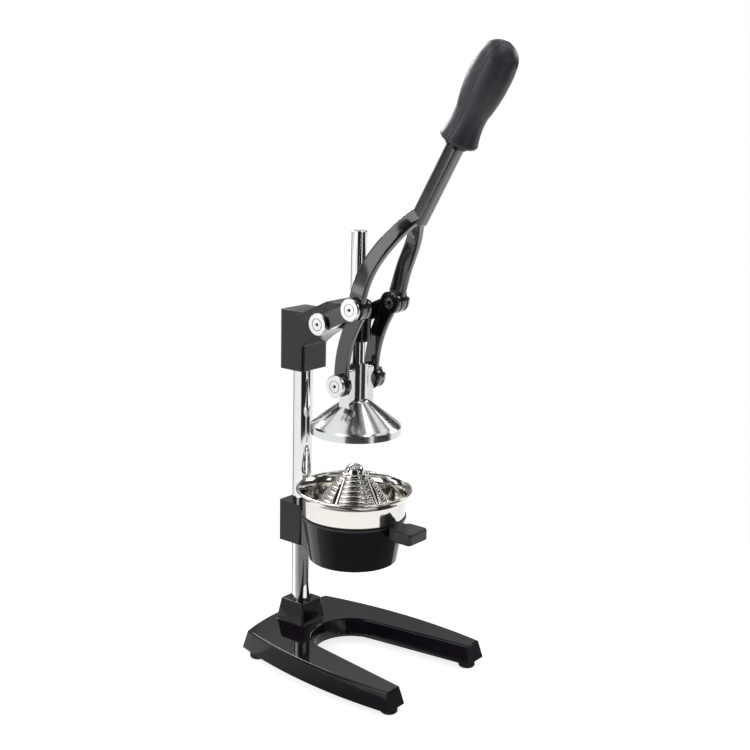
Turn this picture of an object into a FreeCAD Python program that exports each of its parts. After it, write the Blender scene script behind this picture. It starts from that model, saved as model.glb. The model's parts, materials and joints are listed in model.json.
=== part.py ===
import FreeCAD, Part
import math
import os
import Sketcher

# Lever-operated citrus press: a U-shaped cast foot, a chrome column, a head casting that guides a
# vertical rod, and a forked lever that drives a turned bell down over a ribbed reamer.
# Millimetres. +Z is up, the legs of the foot point along -Y, and heights are above the worktop.
# Every piece is drawn with Y measured from the axis of the press rod, and its Placement then sets
# that axis press_back behind the origin, which is the middle of the footprint.

SIZES = {
    # Where the press axis stands, and the fits that pieces share
    "press_back": 34.6,
    "slip": 0.05,
    "gap": 0.3,
    # Rubber feet and their screws
    "foot_radius": 9.0,
    "foot_height": 7.3,
    "foot_edge": 1.2,
    "front_foot_side": 70.0,
    "front_foot_forward": 107.7,
    "rear_foot_side": 65.0,
    "rear_foot_back": 80.0,
    "foot_screw_radius": 2.0,
    "foot_screw_head": 4.2,
    "foot_screw_depth": 10.0,
    "foot_recess": 3.0,
    "foot_post_radius": 7.0,
    # U-shaped foot casting
    "base_top": 27.7,
    "base_draft": 4.0,
    "base_wall": 5.0,
    "base_edge": 1.8,
    "tip_forward": 114.8,
    "tip_outer": 82.3,
    "tip_inner": 61.5,
    "side_bow": 548.0,
    "corner_side": 67.0,
    "corner_back": 95.0,
    "back_bow": 234.0,
    "throat_side": 44.5,
    "throat_back": 5.4,
    "throat_radius": 45.0,
    "boss_top": 52.0,
    "boss_half": 16.2,
    "boss_root_half": 20.2,
    "boss_corner": 2.5,
    "post_half": 15.0,
    "post_low": 11.0,
    # Column and the bolt that holds it
    "column_back": 75.0,
    "column_radius": 10.6,
    "column_low": 20.0,
    "column_high": 366.0,
    "column_chamfer": 1.0,
    "bolt_radius": 4.0,
    "bolt_reach": 22.0,
    "bolt_head_radius": 7.5,
    "bolt_head_height": 5.3,
    "bolt_washer_radius": 10.0,
    "bolt_washer_height": 1.6,
    # Clamp blocks of the holder and of the head share one plan size
    "block_half_width": 20.4,
    "block_half_depth": 16.4,
    "block_corner": 3.0,
    "grub_radius": 3.0,
    "grub_length": 7.0,
    # Cup holder
    "holder_low": 123.8,
    "holder_high": 170.0,
    "cup_low": 120.5,
    "cup_low_radius": 48.0,
    "cup_high": 167.5,
    "cup_high_radius": 56.0,
    "cup_wall": 4.0,
    "cup_lip_radius": 36.0,
    "cup_lip_height": 4.0,
    "web_back": 34.0,
    "web_half_width": 30.0,
    "web_shoulder": 2.0,
    "holder_grub_low": 134.0,
    "holder_grub_high": 158.0,
    # Juice funnel with its front lug
    "funnel_flange_radius": 56.9,
    "funnel_flange_height": 2.5,
    "funnel_fit": 0.5,
    "funnel_wall": 2.2,
    "funnel_shoulder": 131.0,
    "spout_root": 126.0,
    "spout_low": 121.5,
    "spout_radius": 8.5,
    "lug_height": 13.0,
    "lug_half_width": 16.5,
    "lug_neck_half": 10.5,
    "lug_neck_forward": 62.0,
    "lug_forward": 88.5,
    "lug_corner": 5.0,
    "lug_edge": 2.5,
    # Strainer bowl
    "bowl_wall": 1.0,
    "bowl_foot_radius": 55.8,
    "bowl_radius": 56.6,
    "bowl_rim_radius": 63.0,
    "bowl_height": 29.4,
    "bowl_bead": 1.5,
    "bowl_flare_rise": 20.5,
    "bowl_flare_bend": 14.0,
    "bowl_corner": 2.0,
    "pan_rise": 12.0,
    "pan_radius": 36.5,
    "pan_foot_radius": 40.0,
    "slot_count": 18,
    "slot_inner": 42.5,
    "slot_outer": 49.5,
    "slot_half_width": 1.4,
    # Reamer
    "reamer_radius": 35.5,
    "reamer_flange": 1.5,
    "ring_count": 7,
    "ring_pitch": 4.6,
    "ring_step": 3.5,
    "ring_bulge": 3.0,
    "crown_rise": 9.5,
    "flute_low_radius": 6.0,
    "flute_low_out": 1.5,
    "flute_high_radius": 3.5,
    "flute_high_out": 1.5,
    "reamer_hollow": 20.0,
    "reamer_hollow_rise": 28.0,
    # Head casting
    "head_low": 320.5,
    "head_high": 385.5,
    "arm_high": 401.0,
    "arm_rise_back": 28.0,
    "arm_root_low": 346.0,
    "arm_nose_low": 374.6,
    "arm_half_width": 18.2,
    "arm_taper_back": 40.0,
    "arm_nose_back": 12.0,
    "arm_hollow": 120.0,
    "guide_radius": 14.0,
    "guide_low": 361.0,
    "guide_high": 404.0,
    "guide_edge": 1.5,
    "head_grub_low": 337.0,
    "head_grub_high": 356.0,
    # Press rod and bell
    "rod_radius": 8.2,
    "rod_length": 174.5,
    "rod_chamfer": 0.8,
    "bell_low": 261.8,
    "bell_radius": 48.75,
    "bell_band": 7.5,
    "bell_chamfer": 1.9,
    "bell_wall": 3.3,
    "bell_shoulder_radius": 15.0,
    "bell_rise": 34.2,
    "bell_roof_drop": 0.5,
    "bell_web": 6.5,
    "bell_roof_radius": 9.0,
    "neck_radius": 12.2,
    "neck_root_rise": 4.5,
    "neck_bend": 6.0,
    "neck_height": 41.0,
    "ear_reach": 20.3,
    "ear_half_depth": 6.8,
    "ear_height": 16.5,
    "ear_sink": 7.0,
    "bell_screw_radius": 3.0,
    "bell_screw_head": 5.5,
    "bell_screw_head_height": 2.5,
    "bell_screw_reach": 20.0,
    # Pivots: A carries the lever on the head, B joins lever and links, C joins links and bell
    "pivot_a_back": 21.6,
    "pivot_a_high": 380.1,
    "pivot_b_forward": 23.6,
    "pivot_b_high": 401.4,
    "pivot_c_rise": 55.3,
    "pin_radius": 5.0,
    "tapped_radius": 4.0,
    "tapped_reach": 9.0,
    "cap_radius": 11.7,
    "cap_height": 3.0,
    "cap_edge": 0.8,
    "cap_ring_radius": 6.6,
    "cap_ring_width": 0.8,
    "cap_ring_depth": 0.6,
    "socket_radius": 2.6,
    "socket_depth": 2.0,
    "hub_radius": 8.6,
    "upper_hub_height": 4.5,
    "lower_hub_radius": 9.4,
    "lower_hub_height": 5.0,
    "stud_radius": 3.2,
    "stud_reach": 8.0,
    "washer_radius": 9.0,
    "main_washer_height": 1.5,
    "link_washer_height": 0.8,
    # Links
    "link_height": 6.2,
    "link_eye_radius": 12.3,
    "link_half_width": 8.2,
    "link_drop": 7.9,
    "link_front_out": 5.9,
    "link_front_drop": 9.4,
    "link_back_out": 11.1,
    "link_back_drop": 4.9,
    "link_hollow": 124.0,
    "link_bulge": 132.0,
    "link_open_bore": 8.4,
    # Lever casting
    "lever_inner": 29.2,
    "lever_outer": 36.2,
    "lever_eye_radius": 12.3,
    "lever_boss_radius": 9.6,
    "lever_boss_outer": 37.2,
    "cheek_half_height": 8.6,
    "cheek_reach": 39.0,
    "cheek_step": 36.0,
    "cheek_inner_outer": 31.5,
    "arm_low_half": 9.6,
    "arm_low_thick": 3.6,
    "arm_high_half": 7.4,
    "arm_high_thick": 4.8,
    "arm_corner": 2.4,
    "arm_root_rise": 9.5,
    "arm_root_lean": 2.2,
    "arm_one_side": 33.0,
    "arm_one_forward": 29.6,
    "arm_one_high": 424.0,
    "arm_two_side": 30.5,
    "arm_two_forward": 38.7,
    "arm_two_high": 446.0,
    "arm_three_side": 25.0,
    "arm_three_forward": 50.0,
    "arm_three_high": 465.0,
    "arm_four_side": 14.5,
    "arm_four_forward": 61.8,
    "arm_four_high": 483.0,
    "arm_five_side": 3.0,
    "arm_five_forward": 78.6,
    "arm_five_high": 500.0,
    "shaft_root_forward": 74.5,
    "shaft_root_high": 492.0,
    "shaft_root_half": 7.8,
    "shaft_half": 7.8,
    "shaft_corner": 4.0,
    "tang_radius": 7.0,
    "tang_length": 78.0,
    # Grip and the ferrule under it
    "grip_forward": 118.7,
    "grip_low": 572.2,
    "grip_tilt": 28.4,
    "grip_length": 105.5,
    "grip_mouth_radius": 17.0,
    "grip_collar_radius": 19.6,
    "grip_collar_high": 3.6,
    "grip_waist_radius": 16.6,
    "grip_waist_high": 33.0,
    "grip_waist_bend": 75.0,
    "grip_swell_radius": 20.8,
    "grip_swell_high": 68.0,
    "grip_swell_bend": 150.0,
    "grip_crown_bend": 90.0,
    "grip_crown_radius": 20.0,
    "ferrule_height": 5.5,
    "ferrule_radius": 11.6,
    "ferrule_lip": 1.6,
}

doc = FreeCAD.newDocument("citrus_press")
sheet = doc.addObject("Spreadsheet::Sheet", "Sizes")
for row, (alias, number) in enumerate(SIZES.items(), start=1):
    sheet.set(f"A{row}", alias)
    sheet.set(f"B{row}", str(number))
    sheet.setAlias(f"B{row}", alias)
doc.recompute()


class Length:
    """A number together with the sheet formula that it comes from."""

    def __init__(self, formula, value):
        self.formula = formula
        self.value = value

    def __add__(self, other):
        other = as_length(other)
        return Length(f"({self.formula} + {other.formula})", self.value + other.value)

    def __sub__(self, other):
        other = as_length(other)
        return Length(f"({self.formula} - {other.formula})", self.value - other.value)

    def __mul__(self, other):
        other = as_length(other)
        return Length(f"({self.formula} * {other.formula})", self.value * other.value)

    def __truediv__(self, other):
        other = as_length(other)
        return Length(f"({self.formula} / {other.formula})", self.value / other.value)

    def __neg__(self):
        return Length(f"(0 - {self.formula})", -self.value)


def as_length(number):
    return number if isinstance(number, Length) else Length(repr(number), float(number))


def square_root(length):
    return Length(f"sqrt({length.formula})", math.sqrt(length.value))


class SheetSizes:
    """Gives every alias of the sheet as a Length."""

    def __getattr__(self, alias):
        return Length(f"Sizes.{alias}", float(sheet.get(alias)))


d = SheetSizes()
ZERO = as_length(0)
pieces = {}


# Sketch helpers

class Corner:
    """A corner of an outline; radius and side describe an arc that leads to the next corner."""

    def __init__(self, x, y, radius=None, side=0):
        self.x = as_length(x)
        self.y = as_length(y)
        self.radius = radius
        self.side = side


def bulge(x, y, radius):
    return Corner(x, y, radius, 1)


def hollow(x, y, radius):
    return Corner(x, y, radius, -1)


def new_body(name):
    body = doc.addObject("PartDesign::Body", name)
    body.Label = name
    return body


def sketch_on(body, name, role, lift=ZERO):
    """Attaches a sketch to one of the body's origin planes, lifted along the plane's normal."""
    plane = next(f for f in body.Origin.OriginFeatures if f.Role == role)
    sketch = body.newObject("Sketcher::SketchObject", name)
    sketch.AttachmentSupport = [(plane, "")]
    sketch.MapMode = "FlatFace"
    sketch.setExpression(".AttachmentOffset.Base.z", lift.formula)
    return sketch


def tie(sketch, kind, *target, length):
    index = sketch.addConstraint(Sketcher.Constraint(kind, *target, length.value))
    sketch.setExpression(f"Constraints[{index}]", length.formula)


def arc_between(start, end, radius, side):
    """Returns the short arc from start to end; side 1 bulges to the right of the way, -1 to the left."""
    chord = end - start
    reach = math.sqrt(max(radius ** 2 - (chord.Length / 2) ** 2, 0))
    left = FreeCAD.Vector(-chord.y, chord.x, 0).normalize()
    centre = (start + end) / 2 + left * reach * side
    first, last = (start, end) if side > 0 else (end, start)
    begin = math.atan2(first.y - centre.y, first.x - centre.x)
    finish = math.atan2(last.y - centre.y, last.x - centre.x)
    if finish <= begin:
        finish += 2 * math.pi
    circle = Part.Circle(centre, FreeCAD.Vector(0, 0, 1), radius)
    return Part.ArcOfCircle(circle, begin, finish)


def outline(sketch, corners):
    """Closes lines and arcs through the corners and ties every corner to the sheet."""
    places = [FreeCAD.Vector(c.x.value, c.y.value, 0) for c in corners]
    first_index = sketch.GeometryCount
    ends = []
    for i, corner in enumerate(corners):
        start = places[i]
        end = places[(i + 1) % len(places)]
        if corner.radius is None:
            sketch.addGeometry(Part.LineSegment(start, end))
        else:
            sketch.addGeometry(arc_between(start, end, corner.radius.value, corner.side))
        ends.append((2, 1) if corner.side < 0 else (1, 2))
    for i, corner in enumerate(corners):
        j = (i + 1) % len(corners)
        here = first_index + i
        sketch.addConstraint(Sketcher.Constraint("Coincident", here, ends[i][1], first_index + j, ends[j][0]))
        tie(sketch, "DistanceX", here, ends[i][0], length=corner.x)
        tie(sketch, "DistanceY", here, ends[i][0], length=corner.y)
        if corner.radius is not None:
            tie(sketch, "Radius", here, length=corner.radius)


def ring(sketch, x, y, radius):
    x, y = as_length(x), as_length(y)
    circle = Part.Circle(FreeCAD.Vector(x.value, y.value, 0), FreeCAD.Vector(0, 0, 1), radius.value)
    index = sketch.addGeometry(circle)
    tie(sketch, "DistanceX", index, 3, length=x)
    tie(sketch, "DistanceY", index, 3, length=y)
    tie(sketch, "Radius", index, length=radius)


def rounded_box(half_x, half_y, corner, x=ZERO, y=ZERO):
    """Corners of a rectangle with round corners about x, y, counter-clockwise."""
    east, west = x + half_x, x - half_x
    north, south = y + half_y, y - half_y
    return [
        Corner(west + corner, south), bulge(east - corner, south, corner),
        Corner(east, south + corner), bulge(east, north - corner, corner),
        Corner(east - corner, north), bulge(west + corner, north, corner),
        Corner(west, north - corner), bulge(west, south + corner, corner),
    ]


# Feature helpers

def extrude(body, sketch, length, cut=False, reverse=False):
    kind = "Pocket" if cut else "Pad"
    feature = body.newObject(f"PartDesign::{kind}", f"{sketch.Name}_{kind.lower()}")
    feature.Profile = sketch
    feature.Reversed = reverse
    feature.setExpression("Length", length.formula)
    doc.recompute()
    return feature


def spin(body, name, corners, cut=False):
    """Turns a profile of radius and height corners about the body's Z axis."""
    sketch = sketch_on(body, f"{name}_profile", "XZ_Plane")
    outline(sketch, corners)
    kind = "Groove" if cut else "Revolution"
    feature = body.newObject(f"PartDesign::{kind}", name)
    feature.Profile = sketch
    feature.ReferenceAxis = (sketch, ["V_Axis"])
    feature.Angle = 360
    doc.recompute()
    return feature


def loft(body, name, sketches, cut=False, ruled=True):
    kind = "SubtractiveLoft" if cut else "AdditiveLoft"
    feature = body.newObject(f"PartDesign::{kind}", name)
    feature.Profile = sketches[0]
    feature.Sections = sketches[1:]
    feature.Ruled = ruled
    doc.recompute()
    return feature


def lofted(body, name, role, sections, cut=False):
    """Lofts through outlines given as lift and corners, all on one origin plane."""
    sketches = []
    for number, (lift, corners) in enumerate(sections):
        sketch = sketch_on(body, f"{name}_{number}", role, lift)
        outline(sketch, corners)
        sketches.append(sketch)
    return loft(body, name, sketches, cut)


def drill(body, name, role, lift, holes, depth, reverse=False):
    """Cuts round holes, given as x, y and radius in the plane's own axes."""
    sketch = sketch_on(body, name, role, lift)
    for x, y, radius in holes:
        ring(sketch, x, y, radius)
    return extrude(body, sketch, depth, cut=True, reverse=reverse)


def side_lift(side, inner, outer):
    """Lift along X of the face from which a slab between inner and outer grows along +X."""
    return inner if side > 0 else -outer


def slab(body, name, side, inner, outer, corners):
    """Pads a Y-Z outline between two distances from the middle plane, on one side of it."""
    sketch = sketch_on(body, name, "YZ_Plane", side_lift(side, inner, outer))
    outline(sketch, corners)
    return extrude(body, sketch, outer - inner)


def disc_slab(body, name, side, inner, outer, y, z, radius):
    sketch = sketch_on(body, name, "YZ_Plane", side_lift(side, inner, outer))
    ring(sketch, y, z, radius)
    return extrude(body, sketch, outer - inner)


def side_bore(body, name, side, inner, outer, y, z, radius):
    """Drills along X between two distances from the middle plane, on one side of it."""
    return drill(body, name, "YZ_Plane", side_lift(side, inner, outer), [(y, z, radius)],
                 outer - inner, reverse=True)


def soften(body, name, radius, wanted):
    """Rounds the edges of the body that the test picks out."""
    tip = body.Tip
    names = [f"Edge{i}" for i, edge in enumerate(tip.Shape.Edges, start=1) if wanted(edge)]
    feature = body.newObject("PartDesign::Fillet", name)
    feature.Base = (tip, names)
    feature.setExpression("Radius", radius.formula)
    doc.recompute()
    return feature


def place(piece, x=ZERO, y=ZERO, z=ZERO, turn=None):
    """Sets a piece down at x, y and z, with y measured from the press axis."""
    if turn is not None:
        piece.Placement = FreeCAD.Placement(FreeCAD.Vector(), turn)
    for axis, length in (("x", x), ("y", y + d.press_back), ("z", z)):
        piece.setExpression(f".Placement.Base.{axis}", length.formula)
    return piece


def keep(piece, **where):
    pieces[piece.Label] = place(piece, **where)
    return piece


def turned(name, corners, **where):
    """A plain turned piece: one profile spun about its own Z axis."""
    body = new_body(name)
    spin(body, f"{name}_turning", corners)
    return keep(body, **where)


def group(name, members):
    """Puts identical loose solids into one piece."""
    compound = doc.addObject("Part::Compound", name)
    compound.Label = name
    compound.Links = members
    pieces[name] = compound
    return compound


SIDES = {"left": -1, "right": 1}
LOBES = 4
ALONG_X = {
    -1: FreeCAD.Rotation(FreeCAD.Vector(0, 1, 0), -90),
    1: FreeCAD.Rotation(FreeCAD.Vector(0, 1, 0), 90),
}
BACKWARD = FreeCAD.Rotation(FreeCAD.Vector(1, 0, 0), -90)
FEET = {
    "front_left": (-d.front_foot_side, -d.front_foot_forward),
    "front_right": (d.front_foot_side, -d.front_foot_forward),
    "rear_left": (-d.rear_foot_side, d.rear_foot_back),
    "rear_right": (d.rear_foot_side, d.rear_foot_back),
}


# Foot casting: a drafted U with a square boss, hollow underneath

def base_outline(grow):
    """Plan of the U, grown outward by the draft or shrunk inward by the wall."""
    side, back = d.corner_side + grow, d.corner_back + grow
    outer, inner = d.tip_outer + grow, d.tip_inner - grow
    front, throat = -(d.tip_forward + grow), d.throat_side - grow
    bow, rear = d.side_bow + grow, d.back_bow + grow
    return [
        bulge(outer, front, bow), bulge(side, back, rear), bulge(-side, back, bow),
        Corner(-outer, front), Corner(-inner, front),
        hollow(-throat, d.throat_back, d.throat_radius - grow),
        Corner(throat, d.throat_back), Corner(inner, front),
    ]


def make_base():
    body = new_body("base_casting")
    low, roof = d.foot_height, d.base_top - d.base_wall
    lofted(body, "base_shell", "XY_Plane", [
        (low, base_outline(d.base_draft)),
        (d.base_top - d.base_edge, base_outline(ZERO)),
        (d.base_top - d.base_edge / 4, base_outline(-d.base_edge / 4)),
        (d.base_top, base_outline(-d.base_edge)),
    ])
    root = d.base_top - d.base_edge
    lofted(body, "column_boss", "XY_Plane", [
        (root, rounded_box(d.boss_root_half, d.boss_root_half, d.boss_corner, y=d.column_back)),
        (d.boss_top, rounded_box(d.boss_half, d.boss_half, d.boss_corner, y=d.column_back)),
    ])
    roof_grow = d.base_draft * (d.base_wall - d.base_edge) / (d.base_top - d.base_edge - low)
    lofted(body, "base_hollow", "XY_Plane", [
        (low, base_outline(d.base_draft - d.base_wall)),
        (roof, base_outline(roof_grow - d.base_wall)),
    ], cut=True)
    posts = sketch_on(body, "foot_posts", "XY_Plane", low)
    for x, y in FEET.values():
        ring(posts, x, y, d.foot_post_radius)
    extrude(body, posts, roof - low + d.base_edge)
    post = sketch_on(body, "column_post", "XY_Plane", d.post_low)
    outline(post, rounded_box(d.post_half, d.post_half, d.boss_corner, y=d.column_back))
    extrude(body, post, roof - d.post_low + d.base_edge)
    screw_hole = d.foot_screw_radius + d.slip
    drill(body, "foot_screw_holes", "XY_Plane", low, [(x, y, screw_hole) for x, y in FEET.values()],
          d.foot_screw_depth, reverse=True)
    drill(body, "column_socket", "XY_Plane", d.boss_top, [(ZERO, d.column_back, d.column_radius + d.slip)],
          d.boss_top - d.column_low)
    drill(body, "bolt_hole", "XY_Plane", d.column_low, [(ZERO, d.column_back, d.bolt_radius + d.gap)],
          d.column_low - d.post_low)
    keep(body)


# Rubber feet, each held by a screw from below

def make_feet():
    hole = d.foot_screw_radius + d.slip
    recess = d.foot_screw_head + d.gap
    screws = []
    for corner, (x, y) in FEET.items():
        turned(f"{corner}_foot", [
            Corner(recess, ZERO), Corner(d.foot_radius - d.foot_edge, ZERO),
            Corner(d.foot_radius, d.foot_edge), Corner(d.foot_radius, d.foot_height),
            Corner(hole, d.foot_height), Corner(hole, d.foot_recess), Corner(recess, d.foot_recess),
        ], x=x, y=y)
        screw = new_body(f"{corner}_screw")
        spin(screw, f"{corner}_screw_turning", [
            Corner(ZERO, d.foot_edge), Corner(d.foot_screw_head - d.foot_edge, d.foot_edge),
            Corner(d.foot_screw_head, d.foot_recess), Corner(d.foot_screw_radius, d.foot_recess),
            Corner(d.foot_screw_radius, d.foot_height + d.foot_screw_depth - d.gap),
            Corner(ZERO, d.foot_height + d.foot_screw_depth - d.gap),
        ])
        screws.append(place(screw, x=x, y=y))
    group("foot_screws", screws)


# Column, with the bolt and washer that pull it down into the boss

def make_column():
    edge = d.column_radius - d.column_chamfer
    tapped = d.bolt_radius + d.slip
    turned("column", [
        Corner(tapped, d.column_low), Corner(edge, d.column_low),
        Corner(d.column_radius, d.column_low + d.column_chamfer),
        Corner(d.column_radius, d.column_high - d.column_chamfer), Corner(edge, d.column_high),
        Corner(ZERO, d.column_high), Corner(ZERO, d.column_low + d.bolt_reach + d.gap),
        Corner(tapped, d.column_low + d.bolt_reach + d.gap),
    ], y=d.column_back)
    washer_low = d.post_low - d.bolt_washer_height
    turned("column_washer", [
        Corner(d.bolt_radius + d.gap, washer_low), Corner(d.bolt_washer_radius, washer_low),
        Corner(d.bolt_washer_radius, d.post_low), Corner(d.bolt_radius + d.gap, d.post_low),
    ], y=d.column_back)
    head = doc.addObject("Part::Prism", "column_bolt_head")
    head.Polygon = 6
    head.setExpression("Circumradius", d.bolt_head_radius.formula)
    head.setExpression("Height", d.bolt_head_height.formula)
    head.setExpression(".Placement.Base.z", (washer_low - d.bolt_head_height).formula)
    shank = doc.addObject("Part::Cylinder", "column_bolt_shank")
    shank.setExpression("Radius", d.bolt_radius.formula)
    shank.setExpression("Height", (d.column_low + d.bolt_reach - washer_low + d.bolt_head_height / 2).formula)
    shank.setExpression(".Placement.Base.z", (washer_low - d.bolt_head_height / 2).formula)
    bolt = doc.addObject("Part::Fuse", "column_bolt")
    bolt.Label = "column_bolt"
    bolt.Base = head
    bolt.Tool = shank
    keep(bolt, y=d.column_back)


def grub_screws(name, heights):
    """Socket set screws in the back of a clamp block, seated on the column."""
    socket_low = d.grub_length - d.grub_radius
    members = []
    for number, height in enumerate(heights):
        screw = new_body(f"{name}_{number}")
        spin(screw, f"{name}_{number}_turning", [
            Corner(ZERO, ZERO), Corner(d.grub_radius - d.gap, ZERO), Corner(d.grub_radius, d.gap),
            Corner(d.grub_radius, d.grub_length), Corner(d.grub_radius / 2, d.grub_length),
            Corner(d.grub_radius / 2, socket_low), Corner(ZERO, socket_low),
        ])
        seat = d.column_back + d.column_radius + d.slip
        members.append(place(screw, y=seat, z=height, turn=BACKWARD))
    group(name, members)


def clamp_features(body, name, low, high, grubs):
    """Bores a clamp block for the column and its set screws."""
    bore = d.column_radius + d.slip
    drill(body, f"{name}_bore", "XY_Plane", high, [(ZERO, d.column_back, bore)], high - low)
    back = d.column_back + d.block_half_depth
    drill(body, f"{name}_tapped", "XZ_Plane", -back, [(ZERO, z, d.grub_radius + d.slip) for z in grubs],
          d.block_half_depth, reverse=True)


# Cup holder: clamp block, webs and an open tapered cup in one casting

def make_holder():
    body = new_body("cup_holder")
    lip_high = d.cup_low + d.cup_lip_height
    inner_low, inner_high = d.cup_low_radius - d.cup_wall, d.cup_high_radius - d.cup_wall
    spin(body, "cup_wall_turning", [
        Corner(d.cup_lip_radius, d.cup_low), Corner(d.cup_low_radius, d.cup_low),
        Corner(d.cup_high_radius, d.cup_high), Corner(inner_high, d.cup_high),
        Corner(inner_low, lip_high), Corner(d.cup_lip_radius, lip_high),
    ])
    front = d.column_back - d.block_half_depth
    shoulder = d.cup_high - d.web_shoulder
    lofted(body, "holder_web", "XZ_Plane", [
        (-(front + d.block_corner), rounded_box(d.block_half_width - d.web_shoulder,
                                                (shoulder - d.holder_low) / 2, d.block_corner,
                                                y=(shoulder + d.holder_low) / 2)),
        (-d.web_back, rounded_box(d.web_half_width, (shoulder - d.cup_low) / 2, d.block_corner,
                                  y=(shoulder + d.cup_low) / 2)),
    ])
    block = sketch_on(body, "holder_block", "XY_Plane", d.holder_low)
    outline(block, rounded_box(d.block_half_width, d.block_half_depth, d.block_corner, y=d.column_back))
    extrude(body, block, d.holder_high - d.holder_low)
    spin(body, "cup_clearing", [
        Corner(ZERO, d.cup_low - d.cup_wall), Corner(d.cup_lip_radius, d.cup_low - d.cup_wall),
        Corner(d.cup_lip_radius, lip_high), Corner(inner_low, lip_high), Corner(inner_high, d.cup_high),
        Corner(inner_high, d.holder_high), Corner(ZERO, d.holder_high),
    ], cut=True)
    heights = (d.holder_grub_low, d.holder_grub_high)
    clamp_features(body, "holder", d.holder_low, d.holder_high, heights)
    keep(body)
    grub_screws("holder_set_screws", heights)


# Juice funnel: drop-in plastic cone with a spout and a lug to lift it by

def cup_inner_radius(height):
    """Radius of the cup's inside, which runs straight from the top of its lip to its rim."""
    lip_high = d.cup_low + d.cup_lip_height
    slope = (d.cup_high_radius - d.cup_low_radius) / (d.cup_high - lip_high)
    return d.cup_low_radius - d.cup_wall + slope * (height - lip_high)


def make_funnel():
    body = new_body("juice_funnel")
    top = d.cup_high + d.funnel_flange_height
    high = cup_inner_radius(d.cup_high) - d.funnel_fit
    low = cup_inner_radius(d.funnel_shoulder) - d.funnel_fit
    wall = d.funnel_wall
    bore = d.spout_radius - wall
    spin(body, "funnel_turning", [
        Corner(bore, d.spout_low), Corner(d.spout_radius, d.spout_low), Corner(d.spout_radius, d.spout_root),
        Corner(low, d.funnel_shoulder), Corner(high, d.cup_high), Corner(d.funnel_flange_radius, d.cup_high),
        Corner(d.funnel_flange_radius, top), Corner(high - wall, top),
        Corner(low - wall, d.funnel_shoulder + wall), Corner(bore, d.spout_root + wall),
    ])
    neck = sketch_on(body, "lug_neck", "XY_Plane", d.cup_high)
    outline(neck, [
        Corner(-d.lug_neck_half, -d.lug_neck_forward), Corner(d.lug_neck_half, -d.lug_neck_forward),
        Corner(d.lug_neck_half, -high), Corner(-d.lug_neck_half, -high),
    ])
    extrude(body, neck, d.funnel_flange_height)
    lug = sketch_on(body, "lug_grip", "XY_Plane", top - d.lug_height)
    start = -(d.funnel_flange_radius + d.gap)
    knee = -(d.lug_neck_forward + d.lug_corner)
    end = -d.lug_forward
    tight = d.lug_half_width - d.lug_corner
    outline(lug, [
        Corner(-d.lug_neck_half, start), Corner(-d.lug_neck_half, -d.lug_neck_forward),
        Corner(-d.lug_half_width, knee), bulge(-d.lug_half_width, end + d.lug_corner, d.lug_corner),
        Corner(-tight, end), bulge(tight, end, d.lug_corner),
        Corner(d.lug_half_width, end + d.lug_corner), Corner(d.lug_half_width, knee),
        Corner(d.lug_neck_half, -d.lug_neck_forward), Corner(d.lug_neck_half, start),
    ])
    extrude(body, lug, d.lug_height)
    flat = (top.value, (top - d.lug_height).value)
    soften(body, "lug_rounding", d.lug_edge, lambda edge: (
        max(v.Y for v in edge.Vertexes) < -d.lug_neck_forward.value - d.gap.value
        and any(max(abs(v.Z - z) for v in edge.Vertexes) < d.gap.value for z in flat)))
    keep(body)


# Strainer bowl: drawn sheet with a rolled rim, a raised middle and a ring of slots

def make_bowl():
    body = new_body("strainer_bowl")
    seat = d.cup_high + d.funnel_flange_height
    wall, bend = d.bowl_wall, d.bowl_corner
    foot, inside = d.bowl_foot_radius, d.bowl_radius - wall
    bead_middle = d.bowl_rim_radius - d.bowl_bead
    bead_high = seat + d.bowl_height - d.bowl_bead
    flare = seat + d.bowl_flare_rise
    pan = seat + d.pan_rise
    spin(body, "bowl_turning", [
        Corner(ZERO, pan), Corner(d.pan_radius, pan), Corner(d.pan_foot_radius, seat),
        bulge(foot - bend, seat, bend), Corner(foot, seat + bend),
        hollow(d.bowl_radius, flare, d.bowl_flare_bend), Corner(bead_middle, bead_high - wall / 2),
        bulge(bead_middle - wall / 2, bead_high + wall / 2, d.bowl_flare_bend + wall),
        Corner(inside, flare), hollow(foot - wall, seat + bend, bend - wall),
        Corner(foot - bend, seat + wall), Corner(d.pan_foot_radius + wall / 2, seat + wall),
        Corner(d.pan_radius + wall / 2, pan + wall), Corner(ZERO, pan + wall),
    ])
    bead = sketch_on(body, "rim_bead_profile", "XZ_Plane")
    ring(bead, bead_middle, bead_high, d.bowl_bead)
    rim = body.newObject("PartDesign::Revolution", "rim_bead")
    rim.Profile = bead
    rim.ReferenceAxis = (bead, ["V_Axis"])
    rim.Angle = 360
    doc.recompute()
    slot = sketch_on(body, "juice_slot", "XY_Plane", seat + wall)
    outline(slot, [
        Corner(d.slot_inner, -d.slot_half_width), Corner(d.slot_outer, -d.slot_half_width),
        Corner(d.slot_outer, d.slot_half_width), Corner(d.slot_inner, d.slot_half_width),
    ])
    first = extrude(body, slot, wall, cut=True)
    slots = body.newObject("PartDesign::PolarPattern", "juice_slots")
    slots.Originals = [first]
    slots.Axis = (slot, ["N_Axis"])
    slots.Angle = 360
    slots.setExpression("Occurrences", d.slot_count.formula)
    body.Tip = slots
    doc.recompute()
    keep(body)


# Reamer: rounded rings stacked to a cone, parted by flutes into four lobes

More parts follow.
